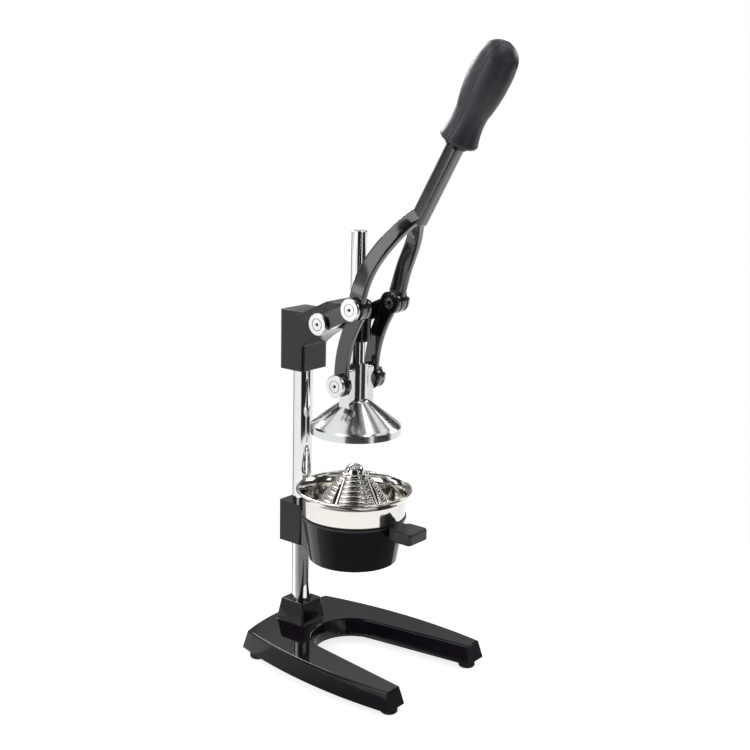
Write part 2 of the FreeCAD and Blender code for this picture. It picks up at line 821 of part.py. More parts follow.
def make_reamer():
    body = new_body("reamer")
    foot = d.cup_high + d.funnel_flange_height + d.pan_rise + d.bowl_wall
    start = foot + d.reamer_flange
    rings = int(d.ring_count.value)
    corners = [Corner(ZERO, foot), Corner(d.reamer_radius, foot)]
    for number in range(rings):
        radius = d.reamer_radius - d.ring_step * number
        corners.append(bulge(radius, start + d.ring_pitch * number, d.ring_bulge))
    crown_radius = d.reamer_radius - d.ring_step * rings
    crown_low = start + d.ring_pitch * rings
    crown_high = crown_low + d.crown_rise
    dome = (crown_radius * crown_radius + d.crown_rise * d.crown_rise) / (d.crown_rise * 2)
    corners.append(bulge(crown_radius, crown_low, dome))
    corners.append(Corner(ZERO, crown_high))
    spin(body, "reamer_turning", corners)
    sketches = []
    for number, (height, reach, radius) in enumerate((
            (foot, d.reamer_radius + d.flute_low_out, d.flute_low_radius),
            (crown_high, crown_radius + d.flute_high_out, d.flute_high_radius))):
        sketch = sketch_on(body, f"flute_{number}", "XY_Plane", height)
        ring(sketch, reach, ZERO, radius)
        sketches.append(sketch)
    first = loft(body, "flute", sketches, cut=True)
    flutes = body.newObject("PartDesign::PolarPattern", "flutes")
    flutes.Originals = [first]
    flutes.Axis = (sketches[0], ["N_Axis"])
    flutes.Angle = 360
    flutes.Occurrences = LOBES
    body.Tip = flutes
    doc.recompute()
    spin(body, "reamer_hollowing", [
        Corner(ZERO, foot), Corner(d.reamer_hollow, foot), Corner(ZERO, foot + d.reamer_hollow_rise),
    ], cut=True)
    keep(body)


# Head casting: clamp block, rising arm and the vertical guide for the rod

def make_head():
    body = new_body("head_casting")
    front, back = d.column_back - d.block_half_depth, d.column_back + d.block_half_depth
    half = d.block_half_width
    block = sketch_on(body, "head_block", "XY_Plane", d.head_low)
    outline(block, rounded_box(half, d.block_half_depth, d.block_corner, y=d.column_back))
    extrude(body, block, d.head_high - d.head_low)
    arm = sketch_on(body, "head_arm", "YZ_Plane", -half)
    outline(arm, [
        Corner(front + d.block_corner, d.arm_root_low), Corner(back - d.block_corner, d.arm_root_low),
        Corner(back - d.block_corner, d.head_high), Corner(front, d.head_high),
        Corner(d.arm_rise_back, d.arm_high), Corner(ZERO, d.arm_high), Corner(ZERO, d.arm_nose_low),
        hollow(d.arm_nose_back, d.arm_nose_low, d.arm_hollow),
    ])
    extrude(body, arm, half * 2)
    plan = sketch_on(body, "head_arm_plan", "XY_Plane", d.arm_high)
    reach = d.arm_nose_back + d.block_corner
    slim = d.arm_half_width
    for side in SIDES.values():
        outline(plan, [
            Corner(half * side, front), Corner(slim * side, d.arm_taper_back), Corner(slim * side, reach),
            Corner(d.guide_radius * side, ZERO), Corner(d.guide_radius * side, -d.block_corner),
            Corner(half * side, -d.block_corner),
        ])
    extrude(body, plan, d.arm_high - d.arm_root_low, cut=True)
    edge = d.guide_edge
    spin(body, "guide_boss", [
        Corner(ZERO, d.guide_low), Corner(d.guide_radius - edge, d.guide_low),
        Corner(d.guide_radius, d.guide_low + edge), Corner(d.guide_radius, d.guide_high - edge),
        Corner(d.guide_radius - edge, d.guide_high), Corner(ZERO, d.guide_high),
    ])
    drill(body, "guide_bore", "XY_Plane", d.guide_high, [(ZERO, ZERO, d.rod_radius + d.slip)],
          d.guide_high - d.guide_low)
    drill(body, "head_socket", "XY_Plane", d.head_low, [(ZERO, d.column_back, d.column_radius + d.slip)],
          d.column_high - d.head_low, reverse=True)
    heights = (d.head_grub_low, d.head_grub_high)
    drill(body, "head_tapped", "XZ_Plane", -back, [(ZERO, z, d.grub_radius + d.slip) for z in heights],
          d.block_half_depth, reverse=True)
    for name, side in SIDES.items():
        side_bore(body, f"head_{name}_tapping", side, slim - d.tapped_reach, slim,
                  d.pivot_a_back, d.pivot_a_high, d.tapped_radius + d.slip)
    keep(body)
    grub_screws("head_set_screws", heights)


# Press rod, bell and the screw that joins them

def pivot_c_height():
    return d.bell_low + d.pivot_c_rise


def make_press():
    shoulder = d.bell_low + d.bell_rise
    roof = shoulder - d.bell_roof_drop
    rod_low = roof + d.bell_web
    pivot_c = pivot_c_height()
    rod_high = rod_low + d.rod_length
    rod_edge = d.rod_radius - d.rod_chamfer
    tapped = d.bell_screw_radius + d.slip
    blind = rod_low + d.bell_screw_reach + d.gap
    turned("press_rod", [
        Corner(tapped, rod_low), Corner(rod_edge, rod_low), Corner(d.rod_radius, rod_low + d.rod_chamfer),
        Corner(d.rod_radius, rod_high - d.rod_chamfer), Corner(rod_edge, rod_high),
        Corner(ZERO, rod_high), Corner(ZERO, blind), Corner(tapped, blind),
    ])
    body = new_body("press_bell")
    band_high = d.bell_low + d.bell_band
    neck_high = shoulder + d.neck_height
    spin(body, "bell_turning", [
        Corner(ZERO, d.bell_low), Corner(d.bell_radius, d.bell_low), Corner(d.bell_radius, band_high),
        Corner(d.bell_radius - d.bell_chamfer, band_high + d.bell_chamfer),
        hollow(d.bell_shoulder_radius, shoulder, d.neck_bend),
        Corner(d.neck_radius, shoulder + d.neck_root_rise),
        Corner(d.neck_radius, neck_high), Corner(ZERO, neck_high),
    ])
    ear_low, ear_high = shoulder - d.ear_sink, pivot_c + d.ear_height
    ears = sketch_on(body, "bell_ears", "YZ_Plane", -d.ear_reach)
    outline(ears, rounded_box(d.ear_half_depth, (ear_high - ear_low) / 2, d.block_corner,
                              y=(ear_high + ear_low) / 2))
    extrude(body, ears, d.ear_reach * 2)
    rim_inside = d.bell_radius - d.bell_wall
    spin(body, "bell_hollowing", [
        Corner(ZERO, d.bell_low), Corner(rim_inside, d.bell_low),
        Corner(rim_inside, d.bell_low + d.bell_band - d.bell_wall),
        Corner(d.bell_roof_radius, roof), Corner(ZERO, roof),
    ], cut=True)
    drill(body, "rod_socket", "XY_Plane", neck_high, [(ZERO, ZERO, d.rod_radius + d.slip)],
          neck_high - rod_low)
    drill(body, "bell_screw_hole", "XY_Plane", rod_low, [(ZERO, ZERO, d.bell_screw_radius + d.slip)],
          rod_low - roof)
    for name, side in SIDES.items():
        side_bore(body, f"ear_{name}_tapping", side, d.ear_reach - d.stud_reach, d.ear_reach,
                  ZERO, pivot_c, d.stud_radius + d.slip)
    keep(body)
    head_low = roof - d.bell_screw_head_height
    turned("bell_screw", [
        Corner(ZERO, head_low), Corner(d.bell_screw_head - d.cap_edge, head_low),
        Corner(d.bell_screw_head, head_low + d.cap_edge), Corner(d.bell_screw_head, roof),
        Corner(d.bell_screw_radius, roof), Corner(d.bell_screw_radius, rod_low + d.bell_screw_reach),
        Corner(ZERO, rod_low + d.bell_screw_reach),
    ])


# Pivot screws and washers: each is turned about Z, then laid along X at its pivot

def cap_corners(face):
    """Outer end of a pivot screw above face: chamfered disc, ring groove and socket."""
    top = face + d.cap_height
    groove_low = top - d.cap_ring_depth
    ring_in, ring_out = d.cap_ring_radius - d.cap_ring_width, d.cap_ring_radius
    return [
        Corner(d.cap_radius, face), Corner(d.cap_radius, top - d.cap_edge),
        Corner(d.cap_radius - d.cap_edge, top), Corner(ring_out, top),
        Corner(ring_out, groove_low), Corner(ring_in, groove_low), Corner(ring_in, top),
        Corner(d.socket_radius, top), Corner(d.socket_radius, top - d.socket_depth),
        Corner(ZERO, top - d.socket_depth),
    ]


def washer(name, side, inner, height, hole, y, z):
    turned(name, [
        Corner(hole, inner), Corner(d.washer_radius, inner),
        Corner(d.washer_radius, inner + height), Corner(hole, inner + height),
    ], y=y, z=z, turn=ALONG_X[side])


def link_faces():
    """Inner and outer distance of the links from the middle plane."""
    outer = d.lever_inner - d.link_washer_height - d.gap
    return outer - d.link_height, outer


def make_pivots():
    head_side = d.arm_half_width
    link_inner, link_outer = link_faces()
    pivot_c = pivot_c_height()
    for name, side in SIDES.items():
        main_end = head_side - d.tapped_reach + d.gap
        turned(f"{name}_main_screw", [
            Corner(ZERO, main_end), Corner(d.tapped_radius, main_end),
            Corner(d.tapped_radius, head_side), Corner(d.pin_radius, head_side),
            Corner(d.pin_radius, d.lever_boss_outer + d.gap),
        ] + cap_corners(d.lever_boss_outer + d.gap), y=d.pivot_a_back, z=d.pivot_a_high, turn=ALONG_X[side])
        washer(f"{name}_main_washer", side, head_side, d.main_washer_height, d.pin_radius + d.slip,
               d.pivot_a_back, d.pivot_a_high)
        hub_high = d.lever_outer + d.upper_hub_height
        turned(f"{name}_upper_screw", [
            Corner(ZERO, link_inner), Corner(d.pin_radius, link_inner), Corner(d.pin_radius, d.lever_outer),
            Corner(d.hub_radius, d.lever_outer), Corner(d.hub_radius, hub_high),
        ] + cap_corners(hub_high), y=-d.pivot_b_forward, z=d.pivot_b_high, turn=ALONG_X[side])
        washer(f"{name}_upper_washer", side, d.lever_inner - d.link_washer_height, d.link_washer_height,
               d.pin_radius + d.slip, -d.pivot_b_forward, d.pivot_b_high)
        hub_low = link_outer + d.gap
        stud_end = d.ear_reach - d.stud_reach + d.gap
        turned(f"{name}_lower_screw", [
            Corner(ZERO, stud_end), Corner(d.stud_radius, stud_end),
            Corner(d.stud_radius, hub_low), Corner(d.lower_hub_radius, hub_low),
            Corner(d.lower_hub_radius, hub_low + d.lower_hub_height),
        ] + cap_corners(hub_low + d.lower_hub_height), z=pivot_c, turn=ALONG_X[side])
        washer(f"{name}_lower_washer", side, d.ear_reach, d.link_washer_height, d.stud_radius + d.slip,
               ZERO, pivot_c)


# Links: curved bars with an eye at each end

def make_links():
    inner, outer = link_faces()
    b_y, b_z, c_z = -d.pivot_b_forward, d.pivot_b_high, pivot_c_height()
    for name, side in SIDES.items():
        body = new_body(f"{name}_link")
        slab(body, f"{name}_link_bar", side, inner, outer, [
            bulge(d.link_half_width, c_z + d.link_drop, d.link_bulge),
            Corner(b_y + d.link_back_out, b_z - d.link_back_drop),
            hollow(b_y - d.link_front_out, b_z - d.link_front_drop, d.link_hollow),
            Corner(-d.link_half_width, c_z + d.link_drop),
        ])
        disc_slab(body, f"{name}_link_upper_eye", side, inner, outer, b_y, b_z, d.link_eye_radius)
        disc_slab(body, f"{name}_link_lower_eye", side, inner, outer, ZERO, c_z, d.link_eye_radius)
        side_bore(body, f"{name}_link_upper_bore", side, inner, outer, b_y, b_z, d.pin_radius + d.slip)
        side_bore(body, f"{name}_link_lower_bore", side, inner, outer, ZERO, c_z, d.link_open_bore)
        keep(body)


# Lever casting: two cheeks and two curved arms that close into one shaft

def section_sketch(body, name, middle, along, half_x, half_y, corner):
    """Rounded section across a direction, with its first axis level."""
    sketch = sketch_on(body, name, "XY_Plane")
    level = FreeCAD.Vector(1, 0, 0)
    level = (level - along * level.dot(along)).normalize()
    turn = FreeCAD.Rotation(level, along.cross(level), along, "ZXY")
    sketch.AttachmentOffset = FreeCAD.Placement(FreeCAD.Vector(), turn)
    for axis, length in zip("xyz", middle):
        sketch.setExpression(f".AttachmentOffset.Base.{axis}", length.formula)
    outline(sketch, rounded_box(half_x, half_y, corner))
    return sketch


def as_vector(middle):
    return FreeCAD.Vector(*(length.value for length in middle))


def along_path(middles):
    """Direction of a path at each of its points."""
    spots = [as_vector(middle) for middle in middles]
    last = len(spots) - 1
    return [(spots[min(i + 1, last)] - spots[max(i - 1, 0)]).normalize() for i in range(len(spots))]


def grip_axis():
    tilt = math.radians(d.grip_tilt.value)
    return FreeCAD.Vector(0, -math.sin(tilt), math.cos(tilt))


def shaft_end():
    """Where the shaft stops under the ferrule."""
    drop = d.ferrule_height
    lean = Length("sin(Sizes.grip_tilt)", math.sin(math.radians(d.grip_tilt.value)))
    rise = Length("cos(Sizes.grip_tilt)", math.cos(math.radians(d.grip_tilt.value)))
    return ZERO, drop * lean - d.grip_forward, d.grip_low - drop * rise


def make_lever():
    body = new_body("lever_fork")
    root = (ZERO, -d.shaft_root_forward, d.shaft_root_high)
    ends = [root, shaft_end()]
    ways = [along_path(ends)[0], grip_axis()]
    halves = (d.shaft_root_half, d.shaft_half)
    loft(body, "shaft", [
        section_sketch(body, f"shaft_section_{i}", ends[i], ways[i], halves[i], d.shaft_half, d.shaft_corner)
        for i in range(len(ends))])
    tang = section_sketch(body, "tang_section", ends[1], grip_axis(), d.tang_radius, d.tang_radius,
                          d.tang_radius - d.slip)
    extrude(body, tang, d.tang_length + d.ferrule_height)
    a_y, a_z = d.pivot_a_back, d.pivot_a_high
    b_y, b_z = -d.pivot_b_forward, d.pivot_b_high
    span = square_root((a_y - b_y) * (a_y - b_y) + (a_z - b_z) * (a_z - b_z))
    run, fall = (a_y - b_y) / span, (a_z - b_z) / span

    def beside(reach, rise):
        """Corner in the lever's plane, measured along the line from B to A and square to it."""
        return Corner(b_y + reach * run - rise * fall, b_z + reach * fall + rise * run)

    height = d.cheek_half_height
    boss_inner = d.arm_half_width + d.main_washer_height + d.gap
    for name, side in SIDES.items():
        middles = [
            (d.arm_one_side * side, b_y - d.arm_root_lean, b_z + d.arm_root_rise),
            (d.arm_one_side * side, -d.arm_one_forward, d.arm_one_high),
            (d.arm_two_side * side, -d.arm_two_forward, d.arm_two_high),
            (d.arm_three_side * side, -d.arm_three_forward, d.arm_three_high),
            (d.arm_four_side * side, -d.arm_four_forward, d.arm_four_high),
            (d.arm_five_side * side, -d.arm_five_forward, d.arm_five_high),
        ]
        ways = along_path(middles)
        last = len(middles) - 1
        sketches = []
        for i, middle in enumerate(middles):
            share = i / last
            thick = d.arm_low_thick * (1 - share) + d.arm_high_thick * share
            half = d.arm_low_half * (1 - share) + d.arm_high_half * share
            sketches.append(
                section_sketch(body, f"{name}_arm_{i}", middle, ways[i], thick, half, d.arm_corner))
        loft(body, f"{name}_arm", sketches, ruled=False)
        disc_slab(body, f"{name}_lever_eye", side, d.lever_inner, d.lever_outer, b_y, b_z, d.lever_eye_radius)
        slab(body, f"{name}_cheek", side, d.lever_inner, d.lever_outer, [
            beside(ZERO, -height), beside(d.cheek_reach, -height), beside(d.cheek_reach, height),
            beside(ZERO, height),
        ])
        slab(body, f"{name}_inner_cheek", side, boss_inner, d.cheek_inner_outer, [
            beside(d.cheek_step, -height), beside(span, -height), beside(span, height),
            beside(d.cheek_step, height),
        ])
        disc_slab(body, f"{name}_lever_boss", side, boss_inner, d.lever_boss_outer, a_y, a_z,
                  d.lever_boss_radius)
        side_bore(body, f"{name}_main_bore", side, boss_inner, d.lever_boss_outer, a_y, a_z,
                  d.pin_radius + d.slip)
        side_bore(body, f"{name}_upper_bore", side, d.lever_inner - d.arm_corner,
                  d.lever_outer + d.arm_corner, b_y, b_z, d.pin_radius + d.slip)
    keep(body)


# Grip: club-shaped moulding on the tang, above a plain ferrule

def make_grip():
    turn = FreeCAD.Rotation(FreeCAD.Vector(1, 0, 0), d.grip_tilt.value)
    hole = d.tang_radius + d.slip
    crown_low = d.grip_length - d.grip_crown_radius
    deep = d.tang_length + d.gap
    turned("lever_grip", [
        Corner(hole, ZERO), bulge(d.grip_mouth_radius, ZERO, d.grip_collar_high),
        hollow(d.grip_collar_radius, d.grip_collar_high, d.grip_waist_bend),
        bulge(d.grip_waist_radius, d.grip_waist_high, d.grip_swell_bend),
        bulge(d.grip_swell_radius, d.grip_swell_high, d.grip_crown_bend),
        bulge(d.grip_crown_radius, crown_low, d.grip_crown_radius),
        Corner(ZERO, d.grip_length), Corner(ZERO, deep), Corner(hole, deep),
    ], y=-d.grip_forward, z=d.grip_low, turn=turn)
    low = -d.ferrule_height
    turned("grip_ferrule", [
        Corner(hole, low), Corner(d.ferrule_radius - d.ferrule_lip, low),
        Corner(d.ferrule_radius, low + d.ferrule_lip), Corner(d.ferrule_radius, ZERO), Corner(hole, ZERO),
    ], y=-d.grip_forward, z=d.grip_low, turn=turn)


for make in (make_base, make_feet, make_column, make_holder, make_funnel, make_bowl, make_reamer,
             make_head, make_press, make_pivots, make_links, make_lever, make_grip):
    make()
doc.recompute()

# Every feature has to stand before any file is written

faults = [o.Name for o in doc.Objects if {"Invalid", "Error"} & set(o.State)]
faults += [name for name, piece in pieces.items() if piece.Shape.isNull() or not piece.Shape.isValid()]
if faults:
    raise RuntimeError(f"these did not build: {faults}")

os.makedirs("parts", exist_ok=True)
for name, piece in pieces.items():
    piece.Shape.exportStep(f"parts/{name}.step")
print(f"{len(pieces)} pieces written")
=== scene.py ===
# %% [markdown]
# # A lever citrus press, dressed for its portrait
# The solids of the press come in ready made, in metres, standing on the plane z = 0 with the legs
# of the foot towards -Y. This lesson gives every piece the surface that the real one has, rounds
# the edges of the castings, and adds the small turned details. The solids stay where they are,
# so a dressed piece is always a copy that stands in for its solid.

# %% Load the press
import json
import math

import bmesh
import bpy
from mathutils import Matrix, Vector


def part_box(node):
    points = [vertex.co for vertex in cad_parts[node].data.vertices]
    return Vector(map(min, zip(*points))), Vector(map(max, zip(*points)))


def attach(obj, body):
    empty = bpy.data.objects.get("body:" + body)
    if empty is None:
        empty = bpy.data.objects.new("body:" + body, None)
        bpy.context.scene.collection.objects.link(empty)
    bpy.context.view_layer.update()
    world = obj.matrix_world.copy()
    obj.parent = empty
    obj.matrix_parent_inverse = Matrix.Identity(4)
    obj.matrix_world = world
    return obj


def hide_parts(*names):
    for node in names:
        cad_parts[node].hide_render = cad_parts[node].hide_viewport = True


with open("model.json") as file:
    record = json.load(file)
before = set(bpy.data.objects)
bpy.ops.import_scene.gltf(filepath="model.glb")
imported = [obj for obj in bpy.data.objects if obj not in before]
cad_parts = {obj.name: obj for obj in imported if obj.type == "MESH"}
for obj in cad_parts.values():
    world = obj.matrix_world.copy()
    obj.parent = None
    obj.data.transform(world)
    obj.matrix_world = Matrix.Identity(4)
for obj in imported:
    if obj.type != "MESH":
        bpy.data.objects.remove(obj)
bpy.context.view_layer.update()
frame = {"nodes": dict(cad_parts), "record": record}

# %% [markdown]
# ## Where things are
# The pivots and the axis of the press rod are read from the solids themselves. A washer or a rod is
# round, so the middle of its box lies on its axis, and no position has to be typed twice. The record
# says which body carries each piece and which material slot it has.


# %% Axes and pivots
def middle(node):
    """The middle of a solid's box."""
    low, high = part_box(node)
    return (low + high) / 2


press_axis = middle("press_rod")
lever_pivot = middle("left_main_washer")
upper_pivot = middle("left_upper_washer")
lower_pivot = middle("left_lower_washer")
record = frame["record"]
body_of_node = {node: body for body, nodes in record["behaviour"]["bodies"].items() for node in nodes}
slot_of_node = {entry["node"]: entry["material_slot"] for entry in record["subparts"]}
print("press axis", [round(v, 4) for v in press_axis])

# %% [markdown]
# ## Camera
# The view is from the front left and a little above, with a long lens, so the column and the rod stay
# nearly parallel. The camera's axes are written as vectors: right, up and back make the columns of its
# matrix. A small roll is part of the view.

# %% Camera
CAMERA_FROM_PRESS = Vector((-1.02468, -0.82843, 0.62894))
CAMERA_AZIMUTH = math.radians(-51.887)
CAMERA_PITCH = math.radians(-13.029)
CAMERA_ROLL = math.radians(1.3623)
LENS_MM = 61.42
SENSOR_MM = 36.0

level_right = Vector((math.cos(CAMERA_AZIMUTH), math.sin(CAMERA_AZIMUTH), 0))
ahead = Vector((-math.sin(CAMERA_AZIMUTH) * math.cos(CAMERA_PITCH),
                math.cos(CAMERA_AZIMUTH) * math.cos(CAMERA_PITCH), math.sin(CAMERA_PITCH)))
level_up = level_right.cross(ahead)
right = level_right * math.cos(CAMERA_ROLL) + level_up * math.sin(CAMERA_ROLL)
up = level_up * math.cos(CAMERA_ROLL) - level_right * math.sin(CAMERA_ROLL)

lens = bpy.data.cameras.new("portrait_lens")
lens.lens = LENS_MM
lens.sensor_width = SENSOR_MM
lens.sensor_fit = "HORIZONTAL"
camera = bpy.data.objects.new("portrait_camera", lens)
bpy.context.scene.collection.objects.link(camera)
pose = Matrix((right, up, -ahead)).transposed().to_4x4()
pose.translation = CAMERA_FROM_PRESS + Vector((press_axis.x, press_axis.y, 0))
camera.matrix_world = pose
bpy.context.scene.camera = camera
print("camera at", [round(v, 3) for v in pose.translation])

# %% [markdown]
# ## Studio
# The room is white to the camera and in reflections alike. The light that it throws on the press is set
# apart from that, because a room bright enough to look white would wash out every shadow.

# %% World
scene = bpy.context.scene
scene.view_settings.view_transform = "Standard"
ROOM_LIGHT = 0.45


def glow(nodes, strength, kind="ShaderNodeEmission"):
    """A white shader of the given strength."""
    node = nodes.new(kind)
    node.inputs["Color"].default_value = (1, 1, 1, 1)
    node.inputs["Strength"].default_value = strength
    return node.outputs[0]


def by_ray(tree, target, seen, lit):
    """Shows one shader to camera, mirror and glass rays, and another to all other light."""
    path = tree.nodes.new("ShaderNodeLightPath")
    straight = path.outputs["Is Camera Ray"]
    for ray in ("Is Glossy Ray", "Is Transmission Ray"):
        either = tree.nodes.new("ShaderNodeMath")
        either.operation = "MAXIMUM"
        tree.links.new(straight, either.inputs[0])
        tree.links.new(path.outputs[ray], either.inputs[1])
        straight = either.outputs[0]
    chosen = tree.nodes.new("ShaderNodeMixShader")
    tree.links.new(straight, chosen.inputs[0])
    tree.links.new(lit, chosen.inputs[1])
    tree.links.new(seen, chosen.inputs[2])
    tree.links.new(chosen.outputs[0], target)


world = bpy.data.worlds.new("white_room")
world.use_nodes = True
scene.world = world
room = world.node_tree
room.nodes.clear()
room_out = room.nodes.new("ShaderNodeOutputWorld")
by_ray(room, room_out.inputs["Surface"], glow(room.nodes, 1.0, "ShaderNodeBackground"),
       glow(room.nodes, ROOM_LIGHT, "ShaderNodeBackground"))
print("world set")

# %% [markdown]
# ### Floor
# The press stands on white paper. Paint alone would come out grey, so the paper also glows, and the two
# together keep a soft shadow close to the press. Further out the paint fades and only the glow is left.

# %% Floor
FLOOR_HALF = 6.0
FLOOR_BASE_GLOW = 0.80
FLOOR_PAINT = 0.34
SHADOW_NEAR = 0.35
SHADOW_FAR = 0.75


def sheet(name, corners, material):
    """One flat face through the given corners, as part of the stage."""
    mesh = bpy.data.meshes.new(name)
    mesh.from_pydata(corners, [], [tuple(range(len(corners)))])
    mesh.materials.append(material)
    flat = bpy.data.objects.new(name, mesh)
    scene.collection.objects.link(flat)
    return flat


floor_paper = bpy.data.materials.new("floor_paper")
floor_paper.use_nodes = True
tree = floor_paper.node_tree
tree.nodes.clear()
floor_out = tree.nodes.new("ShaderNodeOutputMaterial")
paint = tree.nodes.new("ShaderNodeBsdfDiffuse")
paint.inputs["Color"].default_value = (FLOOR_PAINT, FLOOR_PAINT, FLOOR_PAINT, 1)
shaded = tree.nodes.new("ShaderNodeAddShader")
tree.links.new(glow(tree.nodes, FLOOR_BASE_GLOW), shaded.inputs[0])
tree.links.new(paint.outputs[0], shaded.inputs[1])
spot = tree.nodes.new("ShaderNodeTexCoord")
away = tree.nodes.new("ShaderNodeVectorMath")
away.operation = "LENGTH"
tree.links.new(spot.outputs["Object"], away.inputs[0])
fade = tree.nodes.new("ShaderNodeMapRange")
fade.interpolation_type = "SMOOTHSTEP"
fade.inputs["From Min"].default_value = SHADOW_NEAR
fade.inputs["From Max"].default_value = SHADOW_FAR
tree.links.new(away.outputs["Value"], fade.inputs["Value"])
paper = tree.nodes.new("ShaderNodeMixShader")
tree.links.new(fade.outputs["Result"], paper.inputs[0])
tree.links.new(shaded.outputs[0], paper.inputs[1])
tree.links.new(glow(tree.nodes, 1.0), paper.inputs[2])
by_ray(tree, floor_out.inputs["Surface"], paper.outputs[0], paint.outputs[0])
sheet("floor", [(-FLOOR_HALF, -FLOOR_HALF, 0), (FLOOR_HALF, -FLOOR_HALF, 0),
                (FLOOR_HALF, FLOOR_HALF, 0), (-FLOOR_HALF, FLOOR_HALF, 0)], floor_paper)
print("floor", FLOOR_HALF * 2, "m square")

# %% [markdown]
# ### Cards for the mirrors
# Polished surfaces only look like metal when light and darkness take turns around them, and black enamel
# only looks black when it mirrors something dark. So dark cards stand around the press and hang above it,
# with gaps that let the white room in, and bright ones stand in for windows and softboxes. They are
# placed by bearing: 0 degrees is towards the camera, and positive bearings go to the right in the
# picture. Only mirror rays see them.

# %% Card helpers
CARD_STEP = 5
CEILING_HEIGHT = 1.65
LOOK_HEIGHT = 0.30
LOOK = Vector((0, press_axis.y, LOOK_HEIGHT))
towards_camera = Vector((-ahead.x, -ahead.y, 0)).normalized()


def at_bearing(degrees, reach, height):
    """A place around the press, by bearing, reach and height."""
    bearing = math.radians(degrees)
    spot = (towards_camera * math.cos(bearing) + level_right * math.sin(bearing)) * reach
    return Vector((LOOK.x + spot.x, LOOK.y + spot.y, height))


def card_of(brightness, soft_edge=None):
    """A card's glow. A soft edge is two heights between which it comes down from white."""
    material = bpy.data.materials.new(f"card_{round(brightness * 100)}")
    material.use_nodes = True
    nodes, links = material.node_tree.nodes, material.node_tree.links
    nodes.clear()
    end = nodes.new("ShaderNodeOutputMaterial")
    shine = glow(nodes, brightness)
    links.new(shine, end.inputs["Surface"])
    if soft_edge is not None:
        place = nodes.new("ShaderNodeSeparateXYZ")
        links.new(nodes.new("ShaderNodeTexCoord").outputs["Object"], place.inputs[0])
        ramp = nodes.new("ShaderNodeMapRange")
        ramp.interpolation_type = "SMOOTHSTEP"
        ramp.inputs["From Min"].default_value = soft_edge[0]
        ramp.inputs["From Max"].default_value = soft_edge[1]
        ramp.inputs["To Min"].default_value = 1.0
        ramp.inputs["To Max"].default_value = brightness
        links.new(place.outputs["Z"], ramp.inputs["Value"])
        links.new(ramp.outputs["Result"], shine.node.inputs["Strength"])
    return material


def mirrors_only(obj):
    """Hides a card from the camera and from all light but mirror rays."""
    obj.visible_camera = False
    obj.visible_diffuse = False
    obj.visible_shadow = False
    obj.visible_transmission = False


def upright(reach, low, high):
    """The two circles of a card that stands straight up."""
    return [(reach, low), (reach, high)]


def sweep(name, start, end, rings, brightness, soft_edge=None):
    """A curved card between two bearings, through circles given as reach and height."""
    bearings = list(range(start, end, CARD_STEP)) + [end]
    corners = [at_bearing(b, reach, height) for reach, height in rings for b in bearings]
    count = len(bearings)
    faces = [(row * count + i, row * count + i + 1, (row + 1) * count + i + 1, (row + 1) * count + i)
             for row in range(len(rings) - 1) for i in range(count - 1)]
    mesh = bpy.data.meshes.new(name)
    mesh.from_pydata(corners, [], faces)
    mesh.materials.append(card_of(brightness, soft_edge))
    obj = bpy.data.objects.new(name, mesh)
    scene.collection.objects.link(obj)
    mirrors_only(obj)


def ceiling(name, left, right, front, back, brightness):
    """A level card overhead, measured from the press to the right and towards the camera."""
    places = ((left, front), (right, front), (right, back), (left, back))
    corners = [LOOK + level_right * across + towards_camera * along for across, along in places]
    mirrors_only(sheet(name, [(c.x, c.y, CEILING_HEIGHT) for c in corners], card_of(brightness)))


print("card helpers ready")

# %% [markdown]
# ### Grey card at the foot
# The round cup mirrors the floor around it. A grey card lies there, and its left end brightens in small
# steps, because one hard change of tone would show in the cup as a facet.

# %% Grey card at the foot
NEAR_LIFT = 0.002
NEAR_FLOOR = [(0.1, NEAR_LIFT), (0.38, NEAR_LIFT)]
NEAR_LEFT_END = -40
NEAR_GREY = 0.2
NEAR_GAIN = 0.4
NEAR_STEPS = 12
NEAR_STEP_WIDTH = 4

sweep("near_card", NEAR_LEFT_END, 120, NEAR_FLOOR, NEAR_GREY)
for step in range(1, NEAR_STEPS + 1):
    start = NEAR_LEFT_END - NEAR_STEP_WIDTH * step
    brightness = NEAR_GREY + NEAR_GAIN * step / NEAR_STEPS
    sweep(f"near_left_card_{step}", start, start + NEAR_STEP_WIDTH, NEAR_FLOOR, brightness)
print("grey card in", NEAR_STEPS + 1, "pieces")

# %% [markdown]
# ### Dark cards
# A card is given by two bearings, its circles and its brightness. The cloths in front and to the right run
# over the floor and up. The others are walls that come down from white at a soft edge, so the chrome shows
# no hard line there, and the one at the back left also reaches in over the floor.

# %% Dark cards
CARD_REACH = 1.3
CLOTH_LIFT = 0.003
CLOTH = [(0.80, CLOTH_LIFT), (CARD_REACH, CLOTH_LIFT), (CARD_REACH, 1.9)]
HIGH_BAND = upright(CARD_REACH, 0.2, 1.5)
FULL_WALL = upright(CARD_REACH, CLOTH_LIFT, 1.2)

sweep("camera_card", -24, 36, CLOTH, 0.02)
sweep("right_card", 46, 97, CLOTH, 0.03)
sweep("left_card", -130, -24, HIGH_BAND, 0.03, soft_edge=(0.22, 0.62))
sweep("back_right_card", 97, 165, HIGH_BAND, 0.05, soft_edge=(0.3, 0.5))
sweep("back_card", 165, 190, FULL_WALL, 0.3, soft_edge=(0.95, 0.45))
sweep("back_left_card", 190, 232, [(0.16, NEAR_LIFT)] + FULL_WALL, 0.16, soft_edge=(0.95, 0.5))
print("dark cards placed")

# %% [markdown]
# ### Windows and softboxes
# Bright cards stand a little nearer than the dark ones, so that mirrors see them in front. Two are for the
# arms of the lever, two stand in for windows, and two hang high at the back.

# %% Windows and softboxes
ARM_BOX_REACH = CARD_REACH - 0.06
ARM_BOX_SPLIT = 0.31
WINDOW_REACH = CARD_REACH - 0.05

